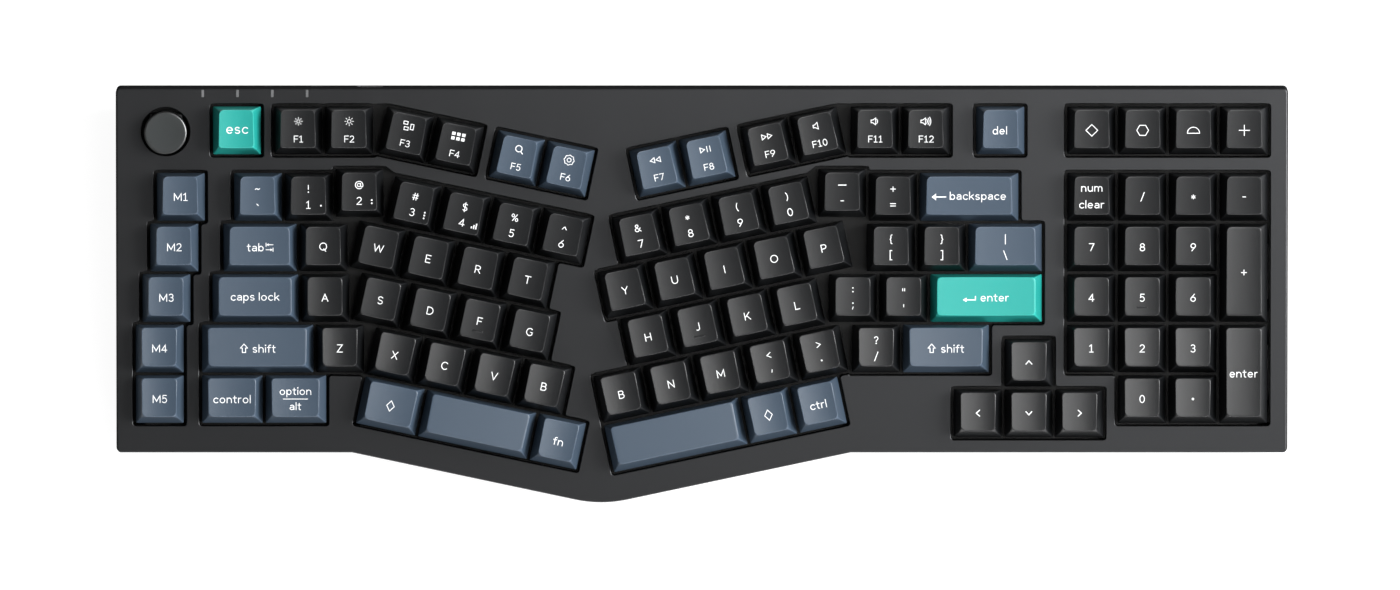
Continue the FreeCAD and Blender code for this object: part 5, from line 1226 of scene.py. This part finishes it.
# Knob: straight grooved side, bright eased edge, flat turned top; radius and level in millimetres
knob = {"radius": 8.0, "foot": -1.0, "top": 5.6, "grooves": 72, "grooveDepth": 0.22, "edge": 0.45,
        "columns": 288, "hollow": 0.05}


# Radius from a profile up its side; between the two edges it swings with the angle in fine grooves
def makeKnob():
    turn = fullTurn(knob["columns"])
    radius, edge, top, foot = knob["radius"], knob["edge"], knob["top"], knob["foot"]
    grooved = radius - knob["grooveDepth"] * (0.5 - 0.5 * np.cos(turn * knob["grooves"]))
    profile = [(radius - 0.3, foot, 0), (radius, foot + 0.3, 0.6), (grooved, foot + 0.9, 0),
               (grooved, top - edge - 0.5, 0), (radius, top - edge, 1),
               (radius - edge * 0.3, top - edge * 0.3, 1),
               (radius - edge, top, 1), (radius - edge - 0.3, top, 0.2), (radius * 0.62, top - 0.04, 0),
               (radius * 0.3, top - knob["hollow"], 0)]
    points, faces, rim = turnedPart(profile, turn, *knobPlace, foot, top - knob["hollow"])
    surface = Surface()
    surface.add(points, faces, rim=rim)
    makePiece("knob", surface, ["turnedKnob"], "knob", ["volume_knob"])


makeKnob()

# Light guides: posts with a little room in their windows, level with the top face
surface = Surface()
for x in lightPlaces:
    half, gap = lights["half"] - lights["gap"], lights["gap"]
    surface.add(*roundedPost(x - half, x + half, shell["depth"] - lights["front"] + gap,
                             shell["depth"] - lights["rear"] - gap, -1.45, 0.03, 0.18, 0.05))
makePiece("light_guides", surface, ["lightGuide"], "case", ["indicator_lights"])
print("knob and lights done")


# From world millimetres back to the frame of the sloping top: moved, then turned by the tilt the other way
def fromLevel(points):
    x, y, z = np.moveaxis(np.asarray(points, float), -1, 0)
    y, z = y - slope["along"], z - slope["rise"]
    cosine, sine = math.cos(slope["tilt"]), math.sin(slope["tilt"])
    return np.stack([x, y * cosine + z * sine, z * cosine - y * sine], -1)


# Rubber feet: level blocks with rounded corners and a tread of shallow ribs across the ground side
feet = {"half": (17.0, 4.5), "across": 162.99, "fromEdge": 14.0, "foot": 0.25, "top": 2.2, "ribs": 15,
        "ribHalf": 0.6, "ribInset": (1.6, 0.7), "ribTop": 0.6}


def makeFeet():
    surface = Surface()
    wide, deep = feet["half"]
    rib, (inX, inY) = feet["ribHalf"], feet["ribInset"]
    for y in (feet["fromEdge"], shell["depth"] - feet["fromEdge"]):
        y = toWorld((0, y, 0))[1] * 1000
        for middle in (-feet["across"], feet["across"]):
            points, faces = roundedPost(middle - wide, middle + wide, y - deep, y + deep, feet["foot"],
                                        feet["top"], 1.2, 0.3, 4)
            surface.add(fromLevel(points), faces, rim=0.3 * (points[:, 2] < 0.6))
            for x in middle + np.linspace(inX - wide, wide - inX, feet["ribs"]):
                points, faces = roundedPost(x - rib, x + rib, y - deep + inY, y + deep - inY, 0.0,
                                            feet["ribTop"], 0.5, 0.15)
                surface.add(fromLevel(points), faces, rim=0.8 * (points[:, 2] < 0.2))
    makePiece("feet", surface, ["footRubber"], "case", ["rubber_feet"])


# Case screws, from below: where they stand, head, shank and socket
screws = {"rise": 22.2, "inset": 8.0, "backInset": 13.0, "padGap": 17.961, "headRadius": 2.7,
          "headHeight": 2.6,
          "shank": 1.5, "tip": -8.7, "socket": 1.25, "socketDepth": 1.5, "sunk": 1.0, "columns": 36}


# Circles of a radius at each level; the socket's radius is its inset over the cosine within each sixth of a
# turn
def makeScrews():
    inset, back = screws["inset"], shell["depth"] - screws["backInset"]
    _, left, nose, right, *_ = caseCorners()
    knobGap = (knobPlace[0] + knobHole["radius"] + blockPoint(straight, 1.529, 0)[0] - shell["margin"]) / 2
    places = [(-halfWidth + inset, inset), (left[0], inset), (nose[0], inset + nose[1]), (right[0], inset),
              (halfWidth - inset, inset), (knobGap, back), (nose[0], back),
              (blockPoint(straight, screws["padGap"], 0)[0], back)]
    turn = fullTurn(screws["columns"])
    hexagon = 1 / np.cos(turn % (math.pi / 3) - math.pi / 6)
    radius, tall, socket = screws["headRadius"], screws["headHeight"], screws["socket"]
    shank, tip = screws["shank"], screws["tip"]
    surface = Surface()
    for x, y in places:
        foot = screws["sunk"] - screws["rise"] / math.cos(slope["tilt"]) - y * math.tan(slope["tilt"])
        floor = foot + screws["socketDepth"]
        profile = [(socket * hexagon, floor, 0), (socket * hexagon, foot + 0.12, 0),
                   ((socket + 0.12) * hexagon, foot, 1), (radius - 0.35, foot, 0.3),
                   (radius - 0.1, foot + 0.1, 1),
                   (radius, foot + 0.35, 0.6), (radius, foot + tall, 0), (shank, foot + tall, 0),
                   (shank, tip - 0.4, 0), (shank - 0.3, tip, 0)]
        points, faces, rim = turnedPart(profile, turn, x, y, floor + 0.2, tip)
        surface.add(points, faces, rim=rim)
    makePiece("screws", surface, ["screwSteel"], "case", ["case_screws"], settle=True)


# Drawn standing, then laid over so that its top faces the back
def facingBack(points, place):
    return points[:, [0, 2, 1]] * (1, 1, -1) + place


# Data port: a rolled shell with a rounded mouth and a tongue in it
port = {"width": 8.94, "height": 3.2, "length": 7.0, "wall": 0.3, "gap": 0.3, "corner": 1.45, "lip": 0.12,
        "tongue": (1.2, 0.33), "wear": 0.8}


def makePort():
    half, tall = port["width"] / 2, port["height"] / 2
    wall, length, lip = port["wall"], port["length"], port["lip"]
    place = (backWindows["port"][0] - halfWidth, shell["depth"] - port["gap"], backWindows["level"])
    ring = roundedRing(1, 1, 6)
    rows = []
    for inset, level in ((wall, wall - length), (wall, -lip), (wall * 0.75, -0.03), (wall * 0.5, 0),
                         (wall * 0.2, -0.03), (0, -lip), (0, -length)):
        outline = ringOutline(ring, inset - half, half - inset, inset - tall, tall - inset,
                              port["corner"] - inset)
        rows.append(ringPoints(outline, level))
    points, faces = closedRings(np.stack(rows), (0, 0, wall - length), (0, 0, -length))
    rim = np.zeros(len(points))
    rim[len(ring[0]):5 * len(ring[0])] = port["wear"]
    surface = Surface()
    surface.add(facingBack(points, place), faces, rim=rim)
    inset, thick = port["tongue"]
    points, faces = roundedPost(inset - half, half - inset, -thick, thick, wall - length - 0.02, -inset,
                                0.15, 0.08)
    surface.add(facingBack(points, place), faces, 1)
    makePiece("data_port", surface, ["screwSteel", "housingPlastic"], "case", ["usb_port"])


# Levers of the slide switches: a tab through the wall with three ribs for the fingertip
lever = {"half": (1.2, 1.0), "reach": 0.15, "top": -0.33, "ribs": (-0.7, 0, 0.7), "ribHalf": (0.17, 0.8),
         "wear": 0.6}


def makeLever(name, body, place):
    surface = Surface()
    across, tall = lever["half"]
    points, faces = roundedPost(-across, across, -tall, tall, -shell["wall"] - lever["reach"], lever["top"],
                                0.25, 0.12)
    surface.add(facingBack(points, place), faces)
    across, tall = lever["ribHalf"]
    for rib in lever["ribs"]:
        points, faces = roundedPost(rib - across, rib + across, -tall, tall, -0.6, -0.16, 0.15, 0.06)
        surface.add(facingBack(points, place), faces, rim=lever["wear"] * (points[:, 2] > -0.3))
    makePiece(name, surface, ["blackCaps"], body, [name])


makeFeet()
makeScrews()
makePort()
for switch in ("mode", "system"):
    makeLever(switch + "_switch_lever", switch + "_lever",
              (backWindows[switch][0] - halfWidth, shell["depth"], backWindows["level"]))
print("feet, screws and port done")

# CAD nodes that keep their shape get their finish; the bottom case takes the darker wall tone, which is
# painted shade
plainNodes = {"caseWallsPaintedShade": ["bottom_case"], "plateSteelPaintedShade": ["switch_plate"],
              "gasketFoam": ["plate_gaskets", "case_foam"], "boardLacquer": ["circuit_board", "port_board"],
              "housingPlastic": ["switch_housings", "stabiliser_housings"],
              "screwSteel": ["board_standoffs", "encoder_body", "encoder_shaft", "encoder_plunger"],
              "batteryWrap": ["battery_pack"],
              "wireSteel": [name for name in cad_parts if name.startswith("stabiliser_wire_")]}
for finish, names in plainNodes.items():
    for name in names:
        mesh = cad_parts[name].data
        mesh.materials.clear()
        mesh.materials.append(materials[finish])
print("carried-over nodes finished")
